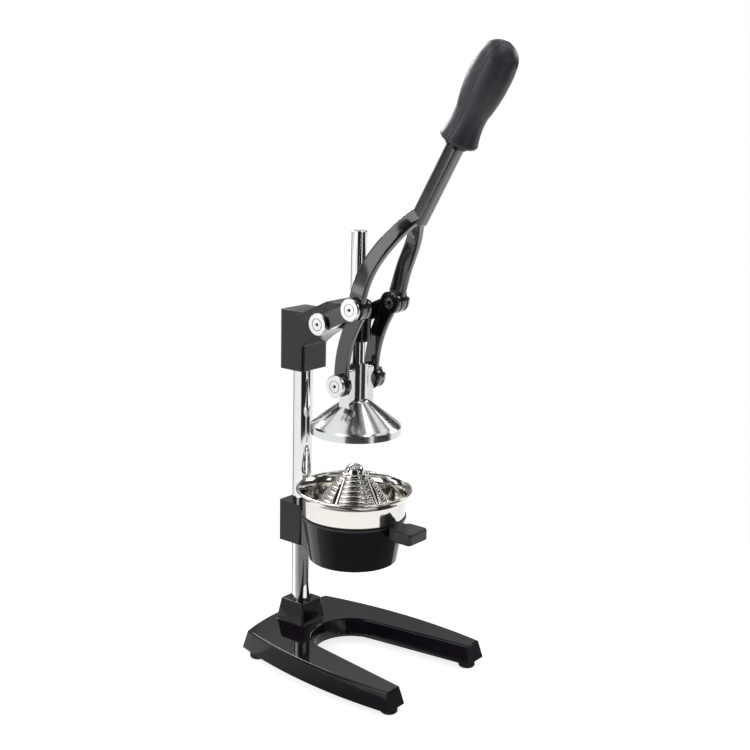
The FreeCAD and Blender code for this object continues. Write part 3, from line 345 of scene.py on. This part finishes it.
sweep("low_arm_softbox", -80, -62, upright(ARM_BOX_REACH, 0.2, ARM_BOX_SPLIT), 2.4)
sweep("high_arm_softbox", -67, -36, upright(ARM_BOX_REACH, ARM_BOX_SPLIT, 1.95), 2.2)
sweep("left_window", -112, -98, upright(WINDOW_REACH, 0.6, 1.1), 2.5)
sweep("right_window", 58, 68, upright(WINDOW_REACH, 0.6, 1.0), 1.6)
sweep("high_left_softbox", 188, 222, upright(WINDOW_REACH, 0.95, 1.75), 13.0)
sweep("high_right_softbox", 112, 138, upright(WINDOW_REACH, 0.85, 1.2), 4.0)
print("bright cards placed")

# %% [markdown]
# ### Ceiling
# Level cards hang overhead, dark and bright by turns from left to right. Faces that look up mirror them.

# %% Ceiling
ceiling("left_softbox", -0.95, -0.5, 0.95, 0.2, 2.6)
ceiling("middle_ceiling", -0.3, 0.2, 1.3, -1.6, 0.02)
ceiling("middle_ceiling_edge", 0.2, 0.34, 1.3, -1.6, 0.25)
ceiling("right_softbox", 0.42, 0.54, 0.9, -0.7, 4.0)
ceiling("right_ceiling", 0.66, 0.85, 1.3, -1.4, 0.1)
print("ceiling cards hung")

# %% [markdown]
# ### Lamps
# Three soft lamps light the press. Mirrors see the cards, so the lamps stay out of the reflections.


# %% Lamps
def soft_lamp(name, place, width, height, watts):
    """A wide lamp that faces the press and stays out of the mirrors."""
    data = bpy.data.lights.new(name, "AREA")
    data.shape = "RECTANGLE"
    data.size = width
    data.size_y = height
    data.energy = watts
    lamp = bpy.data.objects.new(name, data)
    scene.collection.objects.link(lamp)
    lamp.visible_glossy = False
    lamp.location = place
    lamp.rotation_euler = (LOOK - place).to_track_quat("-Z", "Y").to_euler()


soft_lamp("window_left", at_bearing(-62, 1.7, 1.0), 0.9, 1.6, 24)
soft_lamp("window_right", at_bearing(68, 1.8, 0.9), 0.5, 1.2, 9)
soft_lamp("ceiling_lamp", LOOK + Vector((0.1, 0.0, 1.5)), 1.4, 1.4, 16)
print("lamps placed")

# %% [markdown]
# ## Finishes
# Each finish is a node material. A helper makes the shader and sets what is the same all over on its
# own sockets. Noise textures on object coordinates then vary colour, roughness and bump at the scale
# that the real surface shows.

# %% Material helpers
NOISE_LOW = 0.3
NOISE_HIGH = 0.7
EDGE_SAMPLES = 6
LATHE_WOBBLE = 0.4


class Finish:
    """A Principled material with object coordinates ready for its textures."""

    def __init__(self, name, color, roughness, metallic=0.0, **sockets):
        self.material = bpy.data.materials.new(name)
        self.material.use_nodes = True
        self.nodes = self.material.node_tree.nodes
        self.links = self.material.node_tree.links
        self.shader = self.nodes["Principled BSDF"]
        self.shader.inputs["Base Color"].default_value = (*color, 1)
        self.shader.inputs["Roughness"].default_value = roughness
        self.shader.inputs["Metallic"].default_value = metallic
        for socket, value in sockets.items():
            self.shader.inputs[socket.replace("_", " ")].default_value = value
        self.coords = self.nodes.new("ShaderNodeTexCoord").outputs["Object"]
        self.normal = None

    def mapped(self, centre=(0, 0, 0), turn=(0, 0, 0), stretch=(1, 1, 1)):
        """Object coordinates moved so that centre is the origin, then turned and stretched."""
        move = self.nodes.new("ShaderNodeVectorMath")
        move.operation = "SUBTRACT"
        move.inputs[1].default_value = centre
        self.links.new(self.coords, move.inputs[0])
        mapping = self.nodes.new("ShaderNodeMapping")
        mapping.inputs["Rotation"].default_value = turn
        mapping.inputs["Scale"].default_value = stretch
        self.links.new(move.outputs[0], mapping.inputs["Vector"])
        return mapping.outputs[0]

    def noise(self, scale, detail=4.0, vector=None):
        """A noise texture's value, on object coordinates unless others are given."""
        texture = self.nodes.new("ShaderNodeTexNoise")
        texture.inputs["Scale"].default_value = scale
        texture.inputs["Detail"].default_value = detail
        self.links.new(self.coords if vector is None else vector, texture.inputs["Vector"])
        return texture.outputs["Fac"]

    def spread(self, value, low, high, start=NOISE_LOW, end=NOISE_HIGH):
        """Maps a texture's middle range onto low to high."""
        span = self.nodes.new("ShaderNodeMapRange")
        span.inputs["From Min"].default_value = start
        span.inputs["From Max"].default_value = end
        span.inputs["To Min"].default_value = low
        span.inputs["To Max"].default_value = high
        self.links.new(value, span.inputs["Value"])
        return span.outputs["Result"]

    def tint(self, value, dark, light):
        """Lets the base colour vary between two colours."""
        ramp = self.nodes.new("ShaderNodeValToRGB")
        ramp.color_ramp.elements[0].position = NOISE_LOW
        ramp.color_ramp.elements[0].color = (*dark, 1)
        ramp.color_ramp.elements[1].position = NOISE_HIGH
        ramp.color_ramp.elements[1].color = (*light, 1)
        self.links.new(value, ramp.inputs["Fac"])
        self.links.new(ramp.outputs["Color"], self.shader.inputs["Base Color"])

    def polish(self, value, low, high):
        """Lets the roughness vary between two values."""
        self.links.new(self.spread(value, low, high), self.shader.inputs["Roughness"])

    def relief(self, value, strength, distance):
        """Adds a bump layer on top of the ones already there."""
        bump = self.nodes.new("ShaderNodeBump")
        bump.inputs["Strength"].default_value = strength
        bump.inputs["Distance"].default_value = distance
        self.links.new(value, bump.inputs["Height"])
        if self.normal is not None:
            self.links.new(self.normal, bump.inputs["Normal"])
        self.normal = bump.outputs["Normal"]
        self.links.new(self.normal, self.shader.inputs["Normal"])

    def soften(self, radius):
        """Rounds the shading at every edge by a radius, under the bump layers that follow."""
        edge = self.nodes.new("ShaderNodeBevel")
        edge.samples = EDGE_SAMPLES
        edge.inputs["Radius"].default_value = radius
        self.normal = edge.outputs["Normal"]

    def ring_mask(self, centre, radius, half_width):
        """1 on a ring about an axis along X through centre, 0 elsewhere."""
        flat = self.nodes.new("ShaderNodeVectorMath")
        flat.operation = "MULTIPLY"
        flat.inputs[1].default_value = (0, 1, 1)
        self.links.new(self.mapped(centre), flat.inputs[0])
        distance = self.nodes.new("ShaderNodeVectorMath")
        distance.operation = "LENGTH"
        self.links.new(flat.outputs[0], distance.inputs[0])
        near = self.nodes.new("ShaderNodeMath")
        near.operation = "COMPARE"
        near.inputs[1].default_value = radius
        near.inputs[2].default_value = half_width
        self.links.new(distance.outputs["Value"], near.inputs[0])
        return near.outputs[0]

    def paint_shade(self, mask, amount, color):
        """Lays a colour over the base colour where the mask is 1, as painted shade."""
        base = self.shader.inputs["Base Color"]
        layer = self.nodes.new("ShaderNodeMixRGB")
        layer.inputs["Color2"].default_value = (*color, 1)
        self.links.new(base.links[0].from_socket, layer.inputs["Color1"])
        self.links.new(self.spread(mask, 0, amount, 0, 1), layer.inputs["Fac"])
        self.links.new(layer.outputs[0], base)

    def around(self, centre, turn=(0, 0, 0)):
        """Angle from 0 to 1 about an axis through centre."""
        angle = self.nodes.new("ShaderNodeTexGradient")
        angle.gradient_type = "RADIAL"
        self.links.new(self.mapped(centre, turn), angle.inputs["Vector"])
        return angle.outputs["Fac"]

    def rings(self, centre, turn, scale):
        """Fine lathe rings about an axis through centre."""
        wave = self.nodes.new("ShaderNodeTexWave")
        wave.wave_type = "RINGS"
        wave.rings_direction = "Z"
        wave.inputs["Scale"].default_value = scale
        wave.inputs["Distortion"].default_value = LATHE_WOBBLE
        self.links.new(self.mapped(centre, turn), wave.inputs["Vector"])
        return wave.outputs["Fac"]


print("finish helper ready")

# %% [markdown]
# ### Enamel, plastic and rubber
# The castings are iron under thick black enamel: nearly black, glossy, and never quite flat. A slow
# wave in the bump gives the long wobbling highlights, and a finer one the pebbled skin. The lever and the
# links have a clear coat on top, which mirrors the softboxes, and the head was cast rougher. The grip is a
# matt moulding, the funnel a satin one, and the pads under the foot are dull rubber.

# %% Dark finishes
enamel = Finish("black_enamel", (0.006, 0.005, 0.007), 0.06, Specular_IOR_Level=0.35)
enamel.tint(enamel.noise(9), (0.004, 0.003, 0.005), (0.009, 0.007, 0.010))
enamel.polish(enamel.noise(35), 0.04, 0.10)
enamel.relief(enamel.noise(22, 2), 0.08, 0.0005)
enamel.relief(enamel.noise(160, 2), 0.03, 0.0002)

linkage_enamel = Finish("linkage_black_enamel", (0.006, 0.005, 0.007), 0.1, Specular_IOR_Level=0.35,
                        Coat_Weight=1.0, Coat_IOR=1.65, Coat_Roughness=0.08)
linkage_enamel.tint(linkage_enamel.noise(9), (0.004, 0.004, 0.006), (0.009, 0.008, 0.011))
linkage_enamel.polish(linkage_enamel.noise(35), 0.08, 0.16)
linkage_enamel.soften(0.003)
linkage_enamel.relief(linkage_enamel.noise(22, 2), 0.08, 0.0005)

cast_enamel = Finish("cast_black_enamel", (0.006, 0.006, 0.008), 0.14, Specular_IOR_Level=0.45)
cast_enamel.tint(cast_enamel.noise(12), (0.004, 0.004, 0.006), (0.010, 0.009, 0.012))
cast_enamel.polish(cast_enamel.noise(60), 0.08, 0.2)
cast_enamel.soften(0.002)
cast_enamel.relief(cast_enamel.noise(40, 2), 0.25, 0.0008)
cast_enamel.relief(cast_enamel.noise(220, 2, cast_enamel.mapped(stretch=(1, 1, 0.4))), 0.35, 0.0006)

grip_plastic = Finish("grip_plastic", (0.027, 0.024, 0.031), 0.42)
grip_plastic.tint(grip_plastic.noise(60), (0.024, 0.021, 0.028), (0.030, 0.027, 0.034))
grip_plastic.polish(grip_plastic.noise(120), 0.36, 0.48)
grip_plastic.relief(grip_plastic.noise(900, 3), 0.25, 0.00012)

funnel_plastic = Finish("funnel_plastic", (0.010, 0.010, 0.011), 0.32)
funnel_plastic.tint(funnel_plastic.noise(25), (0.007, 0.007, 0.008), (0.014, 0.013, 0.014))
funnel_plastic.polish(funnel_plastic.noise(70), 0.26, 0.38)
funnel_plastic.relief(funnel_plastic.noise(500, 3), 0.2, 0.00012)

rubber = Finish("foot_rubber", (0.012, 0.012, 0.012), 0.8)
rubber.tint(rubber.noise(140), (0.008, 0.008, 0.008), (0.018, 0.018, 0.017))
rubber.polish(rubber.noise(300), 0.7, 0.88)
rubber.relief(rubber.noise(700, 3), 0.35, 0.0002)
print("dark finishes made")

# %% [markdown]
# ### Metals
# Chrome is a mirror with the faintest haze. The bell was turned on a lathe and left bright, so its light
# breaks into streaks that run down the cone. The bowl is satin sheet, the reamer is polished. Patterns
# that go round a piece use the angle about its own axis.

# %% Bright finishes
SPIN_CENTRE = (press_axis.x, press_axis.y, 0)
STREAKS_AROUND = 420
STREAK_DETAIL = 3


def turned_metal(name, dark, light, smooth, rough, spread):
    """Metal turned on a lathe: its fine rings smear every reflection along the profile."""
    finish = Finish(name, light, rough, metallic=1.0, Anisotropic=spread)
    tangent = finish.nodes.new("ShaderNodeTangent")
    tangent.direction_type = "RADIAL"
    tangent.axis = "Z"
    finish.links.new(tangent.outputs["Tangent"], finish.shader.inputs["Tangent"])
    line = finish.nodes.new("ShaderNodeTexNoise")
    line.noise_dimensions = "1D"
    line.inputs["Scale"].default_value = STREAKS_AROUND
    line.inputs["Detail"].default_value = STREAK_DETAIL
    finish.links.new(finish.around(SPIN_CENTRE), line.inputs["W"])
    finish.tint(line.outputs["Fac"], dark, light)
    finish.polish(line.outputs["Fac"], smooth, rough)
    return finish


chrome = Finish("chrome", (0.86, 0.86, 0.87), 0.03, metallic=1.0)
chrome_streak = chrome.noise(60, 3, chrome.mapped(stretch=(1, 1, 0.04)))
chrome.tint(chrome_streak, (0.76, 0.76, 0.78), (0.83, 0.83, 0.83))
chrome.polish(chrome_streak, 0.02, 0.06)

bell_metal = turned_metal("turned_aluminium", (0.70, 0.72, 0.73), (0.78, 0.79, 0.79), 0.10, 0.18, 0.6)
bowl_metal = turned_metal("satin_stainless", (0.72, 0.70, 0.66), (0.78, 0.76, 0.72), 0.06, 0.12, 0.5)

reamer_metal = Finish("polished_stainless", (0.78, 0.76, 0.74), 0.08, metallic=1.0)
reamer_haze = reamer_metal.noise(140)
reamer_metal.tint(reamer_haze, (0.74, 0.72, 0.70), (0.81, 0.79, 0.77))
reamer_metal.polish(reamer_haze, 0.05, 0.11)

zinc = Finish("zinc_steel", (0.52, 0.52, 0.53), 0.34, metallic=1.0)
zinc_spot = zinc.noise(220)
zinc.tint(zinc_spot, (0.46, 0.46, 0.47), (0.60, 0.60, 0.60))
zinc.polish(zinc_spot, 0.26, 0.42)
print("bright finishes made")

# %% [markdown]
# ### Screw caps
# Each bright cap was turned about its own pivot, so its fine rings go round that point. Painted shade sits
# in its groove and its socket, more at one pivot than at another. A ring-shaped mask darkens just those
# places.

# %% Screw caps
GROOVE_RADIUS = 0.0062
GROOVE_HALF_WIDTH = 0.0004
# The colour of the painted shade in the groove.
GROOVE_SHADE = (0.04, 0.035, 0.03)
SOCKET_DARK_RADIUS = 0.0017
# How dark the painted shade in the socket is, and its colour.
SOCKET_DARKNESS = 0.97
SOCKET_SHADE = (0.02, 0.018, 0.016)
CAP_RINGS = 700
TURN_TO_X = (0, math.radians(90), 0)


def cap_finish(name, pivot, groove_shade):
    """Bright screw steel with lathe rings about its pivot, and painted shade in the groove and the socket.
    """
    centre = (0, pivot.y, pivot.z)
    finish = Finish(name, (0.80, 0.78, 0.77), 0.26, metallic=1.0)
    finish.tint(finish.rings(centre, TURN_TO_X, CAP_RINGS), (0.79, 0.77, 0.76), (0.82, 0.80, 0.79))
    # Painted shade in the groove, stronger at some pivots than at others.
    finish.paint_shade(finish.ring_mask(centre, GROOVE_RADIUS, GROOVE_HALF_WIDTH), groove_shade, GROOVE_SHADE)
    # Painted shade in the socket, where the key hole is deep.
    finish.paint_shade(finish.ring_mask(centre, 0, SOCKET_DARK_RADIUS), SOCKET_DARKNESS, SOCKET_SHADE)
    finish.polish(finish.noise(200), 0.24, 0.3)
    return finish


# The last number is how strong the painted shade in the groove is at that pivot.
main_cap = cap_finish("main_screw_steel", lever_pivot, 0.9)
upper_cap = cap_finish("upper_screw_steel", upper_pivot, 0.5)
lower_cap = cap_finish("lower_screw_steel", lower_pivot, 0.6)
print("screw caps made")

# %% [markdown]
# ### A finish for every solid
# The record gives each piece a material slot, and every slot has its finish. Pieces that differ from the
# rest of their slot, such as the rough head and the caps of each pivot, are named one by one.

# %% Put a finish on every solid
FINISH_OF_SLOT = {
    "black_enamel": enamel, "black_rubber": rubber, "zinc_steel": zinc, "chrome": chrome,
    "black_plastic": funnel_plastic, "satin_stainless": bowl_metal, "polished_stainless": reamer_metal,
    "turned_aluminium": bell_metal, "matte_grip": grip_plastic, "black_ferrule": enamel,
    "bright_screw": main_cap,
}
FINISH_OF_NODE = {
    "head_casting": cast_enamel, "lever_fork": linkage_enamel,
    "left_link": linkage_enamel, "right_link": linkage_enamel,
    "left_upper_screw": upper_cap, "right_upper_screw": upper_cap,
    "left_lower_screw": lower_cap, "right_lower_screw": lower_cap,
}


def finish_of(node):
    """The material of a piece."""
    return FINISH_OF_NODE.get(node, FINISH_OF_SLOT[slot_of_node[node]]).material


def coat(obj, material):
    """Gives an object one material all over."""
    obj.data.materials.clear()
    obj.data.materials.append(material)


for node, solid in frame["nodes"].items():
    coat(solid, finish_of(node))
print("finishes on", len(frame["nodes"]), "solids")

# %% [markdown]
# ## Castings with rounded edges
# A casting never has knife edges: enamel pulls round every corner and catches a thin line of light there.
# A copy of the solid is merged into a closed mesh, its flat faces are joined up again, and a Bevel
# modifier rounds only the edges sharper than a set angle. Curved faces meet at small angles and stay as
# they are. The result is made a plain mesh, with no modifier left, before it is given to its body.


# %% Plain meshes
def finished_mesh(obj, name):
    """Turns the evaluated object into a plain mesh at the origin and removes its modifiers."""
    graph = bpy.context.evaluated_depsgraph_get()
    mesh = bpy.data.meshes.new_from_object(obj.evaluated_get(graph))
    mesh.name = name
    obj.modifiers.clear()
    obj.data = mesh


print("mesh helper ready")

# %% [markdown]
# ### Rear screw bosses
# In the solid, the screw boss over each rear pad stands up to a millimetre proud of the sloping outer wall.
# The points of its top edge that lie outside are moved back to the wall, which runs straight between the
# two ends of the boss.

# %% Rear screw bosses
BOSS_TOP = 0.0245
BOSS_TOP_SLACK = 2e-5
BOSS_ENDS = ((0.07171, 0.11262), (0.07004, 0.11946))
MERGE_DISTANCE = 2e-6


def plane_boss(shell):
    """Brings the top of each rear pad's screw boss back to the outer wall that it stands proud of."""
    (x_front, y_front), (x_back, y_back) = BOSS_ENDS
    planed = []
    for vertex in shell.verts:
        x, y, z = vertex.co
        if abs(z - BOSS_TOP) > BOSS_TOP_SLACK or not y_front < y < y_back:
            continue
        wall = x_front + (x_back - x_front) * (y - y_front) / (y_back - y_front)
        if abs(x) > wall:
            vertex.co.x = math.copysign(wall, x)
            planed.append(vertex)
    touched = list({edge for vertex in planed for edge in vertex.link_edges})
    bmesh.ops.dissolve_degenerate(shell, dist=MERGE_DISTANCE, edges=touched)
    print(len(touched), "edges at the rear bosses planed")


print("boss helper ready")

# %% [markdown]
# ### Rounded copies
# Each casting has its own width of rounding. On the foot and the links it is taken in full. On the others
# it is clamped, which leaves little of it, because full roundings would run into each other at the small
# chamfers of the solid.

# %% Rounded copies
ROUNDING_SEGMENTS = 3
SHARP_ANGLE = math.radians(32)
FLAT_ANGLE = math.radians(0.5)
LARGE_FACE_WEIGHT = 100


def rounded_copy(node, width, clamp):
    """A dressed copy of a casting, which stands in for its solid."""
    mesh = frame["nodes"][node].data.copy()
    shell = bmesh.new()
    shell.from_mesh(mesh)
    bmesh.ops.remove_doubles(shell, verts=shell.verts, dist=MERGE_DISTANCE)
    if node == "base_casting":
        plane_boss(shell)
    bmesh.ops.dissolve_limit(shell, angle_limit=FLAT_ANGLE, verts=shell.verts, edges=shell.edges)
    shell.to_mesh(mesh)
    shell.free()
    piece = bpy.data.objects.new(f"{node}_dressed", mesh)
    scene.collection.objects.link(piece)
    bevel = piece.modifiers.new("rounding", "BEVEL")
    bevel.width = width
    bevel.segments = ROUNDING_SEGMENTS
    bevel.limit_method = "ANGLE"
    bevel.angle_limit = SHARP_ANGLE
    bevel.use_clamp_overlap = clamp
    finished_mesh(piece, f"{node}_dressed")
    piece.data.polygons.foreach_set("use_smooth", [True] * len(piece.data.polygons))
    piece.data.set_sharp_from_angle(angle=SHARP_ANGLE)
    weighted = piece.modifiers.new("large_faces_lead", "WEIGHTED_NORMAL")
    weighted.keep_sharp = True
    weighted.weight = LARGE_FACE_WEIGHT
    finished_mesh(piece, f"{node}_dressed")
    coat(piece, finish_of(node))
    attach(piece, body_of_node[node])
    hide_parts(node)
    return piece


EDGE_ROUNDING = {
    "base_casting": (0.0013, False), "lever_fork": (0.0016, True),
    "left_link": (0.0013, False), "right_link": (0.0013, False),
    "head_casting": (0.002, True), "cup_holder": (0.0012, True),
}
for node, (width, clamp) in EDGE_ROUNDING.items():
    piece = rounded_copy(node, width, clamp)
    print(node, "dressed with", len(piece.data.polygons), "faces")

# %% [markdown]
# ## Details that follow a rule
# Geometry Nodes makes what follows a path or comes back at every pivot. A group is built in code, its
# inputs are found by name and set by identifier, and the result becomes a plain mesh that rides on its
# body.


# %% Geometry Nodes helpers
def new_group(name, inputs):
    """An empty modifier group with a geometry socket at each end and the named inputs."""
    group = bpy.data.node_groups.new(name, "GeometryNodeTree")
    group.is_modifier = True
    group.interface.new_socket("Geometry", in_out="INPUT", socket_type="NodeSocketGeometry")
    for label, kind in inputs:
        group.interface.new_socket(label, in_out="INPUT", socket_type=f"NodeSocket{kind}")
    group.interface.new_socket("Geometry", in_out="OUTPUT", socket_type="NodeSocketGeometry")
    return group, group.nodes.new("NodeGroupInput"), group.nodes.new("NodeGroupOutput")


def add_node(group, kind, **settings):
    """A node whose links and fixed values are given by input name."""
    node = group.nodes.new(f"GeometryNode{kind}")
    for label, value in settings.items():
        socket = node.inputs[label.replace("_", " ")]
        if isinstance(value, bpy.types.NodeSocket):
            group.links.new(value, socket)
        else:
            socket.default_value = value
    return node


def close_group(group, end, geometry, material):
    """Ends a group with real geometry that carries its material."""
    real = add_node(group, "RealizeInstances", Geometry=geometry)
    painted = add_node(group, "SetMaterial", Geometry=real.outputs[0], Material=material)
    group.links.new(painted.outputs[0], end.inputs[0])


def grown(name, group, points, edges, values, body):
    """Runs a group on a set of points and edges, and leaves a plain mesh that rides on a body."""
    mesh = bpy.data.meshes.new(name)
    mesh.from_pydata(points, edges, [])
    piece = bpy.data.objects.new(name, mesh)
    scene.collection.objects.link(piece)
    modifier = piece.modifiers.new("grow", "NODES")
    modifier.node_group = group
    for item in group.interface.items_tree:
        if item.in_out == "INPUT" and item.name in values:
            modifier[item.identifier] = values[item.name]
    finished_mesh(piece, name)
    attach(piece, body)
    print(name, len(piece.data.polygons), "faces on", body)


print("group helpers ready")

# %% [markdown]
# ### Mould seam of the grip
# The two halves of the mould met in the plane of the grip's axis and the cross axis, so a fine bead runs
# up one side of the grip, over the top and down the other. Its path is the grip's own outline.

# %% Mould seam
GRIP_TILT = math.radians(28.4)
SEAM_RADIUS = 0.0005
SEAM_PROUD = 0.0003
SEAM_SIDES = 8
STATION_DIGITS = 4
FACING_DOWN = -0.9

grip_axis = Vector((0, -math.sin(GRIP_TILT), math.cos(GRIP_TILT)))
grip_foot = middle("grip_ferrule")
grip_mesh = frame["nodes"]["lever_grip"].data
outline = {}
for face in grip_mesh.polygons:
    along = (face.center - grip_foot).dot(grip_axis)
    outward = face.center - grip_foot - grip_axis * along
    if face.normal.dot(outward) > 0 and face.normal.dot(grip_axis) > FACING_DOWN:
        for index in face.vertices:
            offset = grip_mesh.vertices[index].co - grip_foot
            station = round(offset.dot(grip_axis), STATION_DIGITS)
            radius = (offset - grip_axis * offset.dot(grip_axis)).length
            outline[station] = max(outline.get(station, 0), radius)
side = [(station, outline[station] + SEAM_PROUD - SEAM_RADIUS) for station in sorted(outline)]
cross = Vector((1, 0, 0))
seam_path = [grip_foot + grip_axis * station - cross * radius for station, radius in side]
seam_path += [grip_foot + grip_axis * station + cross * radius for station, radius in reversed(side)]

seam_group, seam_in, seam_end = new_group("mould_seam", [("Bead Radius", "Float"), ("Finish", "Material")])
seam_line = add_node(seam_group, "MeshToCurve", Mesh=seam_in.outputs["Geometry"])
seam_round = add_node(seam_group, "CurvePrimitiveCircle", Resolution=SEAM_SIDES,
                      Radius=seam_in.outputs["Bead Radius"])
seam_tube = add_node(seam_group, "CurveToMesh", Curve=seam_line.outputs[0],
                     Profile_Curve=seam_round.outputs[0], Fill_Caps=True)
close_group(seam_group, seam_end, seam_tube.outputs[0], seam_in.outputs["Finish"])
grown("grip_seam", seam_group, seam_path, [(i, i + 1) for i in range(len(seam_path) - 1)],
      {"Bead Radius": SEAM_RADIUS, "Finish": grip_plastic.material}, "lever")

# %% [markdown]
# ### Hexagon sockets
# Every pivot screw has a hexagon for its key. A liner with a six-sided hole sits in each round recess.
# One group makes the liner once and puts it at both screws of a pivot.

# %% Hexagon sockets
LINER_RADIUS = 0.00256
KEY_RADIUS = 0.0019
LINER_DEPTH = 0.0015
LINER_SINK = 0.0004
LINER_SIDES = 36
KEY_SIDES = 6
LINER_MERGE = 1e-6

hex_group, hex_in, hex_end = new_group("hexagon_socket", [
    ("Liner Radius", "Float"), ("Key Radius", "Float"), ("Depth", "Float"), ("Finish", "Material")])
hex_outer = add_node(hex_group, "CurvePrimitiveCircle", Resolution=LINER_SIDES,
                     Radius=hex_in.outputs["Liner Radius"])
hex_inner = add_node(hex_group, "CurvePrimitiveCircle", Resolution=KEY_SIDES,
                     Radius=hex_in.outputs["Key Radius"])
hex_rings = hex_group.nodes.new("GeometryNodeJoinGeometry")
hex_group.links.new(hex_inner.outputs[0], hex_rings.inputs[0])
hex_group.links.new(hex_outer.outputs[0], hex_rings.inputs[0])
hex_face = add_node(hex_group, "FillCurve", Curve=hex_rings.outputs[0])
hex_wall = add_node(hex_group, "ExtrudeMesh", Mesh=hex_face.outputs[0],
                    Offset_Scale=hex_in.outputs["Depth"], Individual=False)
hex_back = add_node(hex_group, "FlipFaces", Mesh=hex_face.outputs[0])
hex_both = hex_group.nodes.new("GeometryNodeJoinGeometry")
hex_group.links.new(hex_back.outputs[0], hex_both.inputs[0])
hex_group.links.new(hex_wall.outputs[0], hex_both.inputs[0])
hex_liner = add_node(hex_group, "MergeByDistance", Geometry=hex_both.outputs[0], Distance=LINER_MERGE)
hex_copies = add_node(hex_group, "InstanceOnPoints", Points=hex_in.outputs["Geometry"],
                      Instance=hex_liner.outputs[0], Rotation=TURN_TO_X)
close_group(hex_group, hex_end, hex_copies.outputs[0], hex_in.outputs["Finish"])

for place, body in (("main", "frame"), ("upper", "lever"), ("lower", "press")):
    left_cap, right_cap = f"left_{place}_screw", f"right_{place}_screw"
    left_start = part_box(left_cap)[0].x + LINER_SINK
    right_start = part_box(right_cap)[1].x - LINER_SINK - LINER_DEPTH
    pivot = middle(left_cap)
    spots = [(left_start, pivot.y, pivot.z), (right_start, pivot.y, pivot.z)]
    grown(f"{place}_sockets", hex_group, spots, [],
          {"Liner Radius": LINER_RADIUS, "Key Radius": KEY_RADIUS, "Depth": LINER_DEPTH,
           "Finish": finish_of(left_cap)}, body)
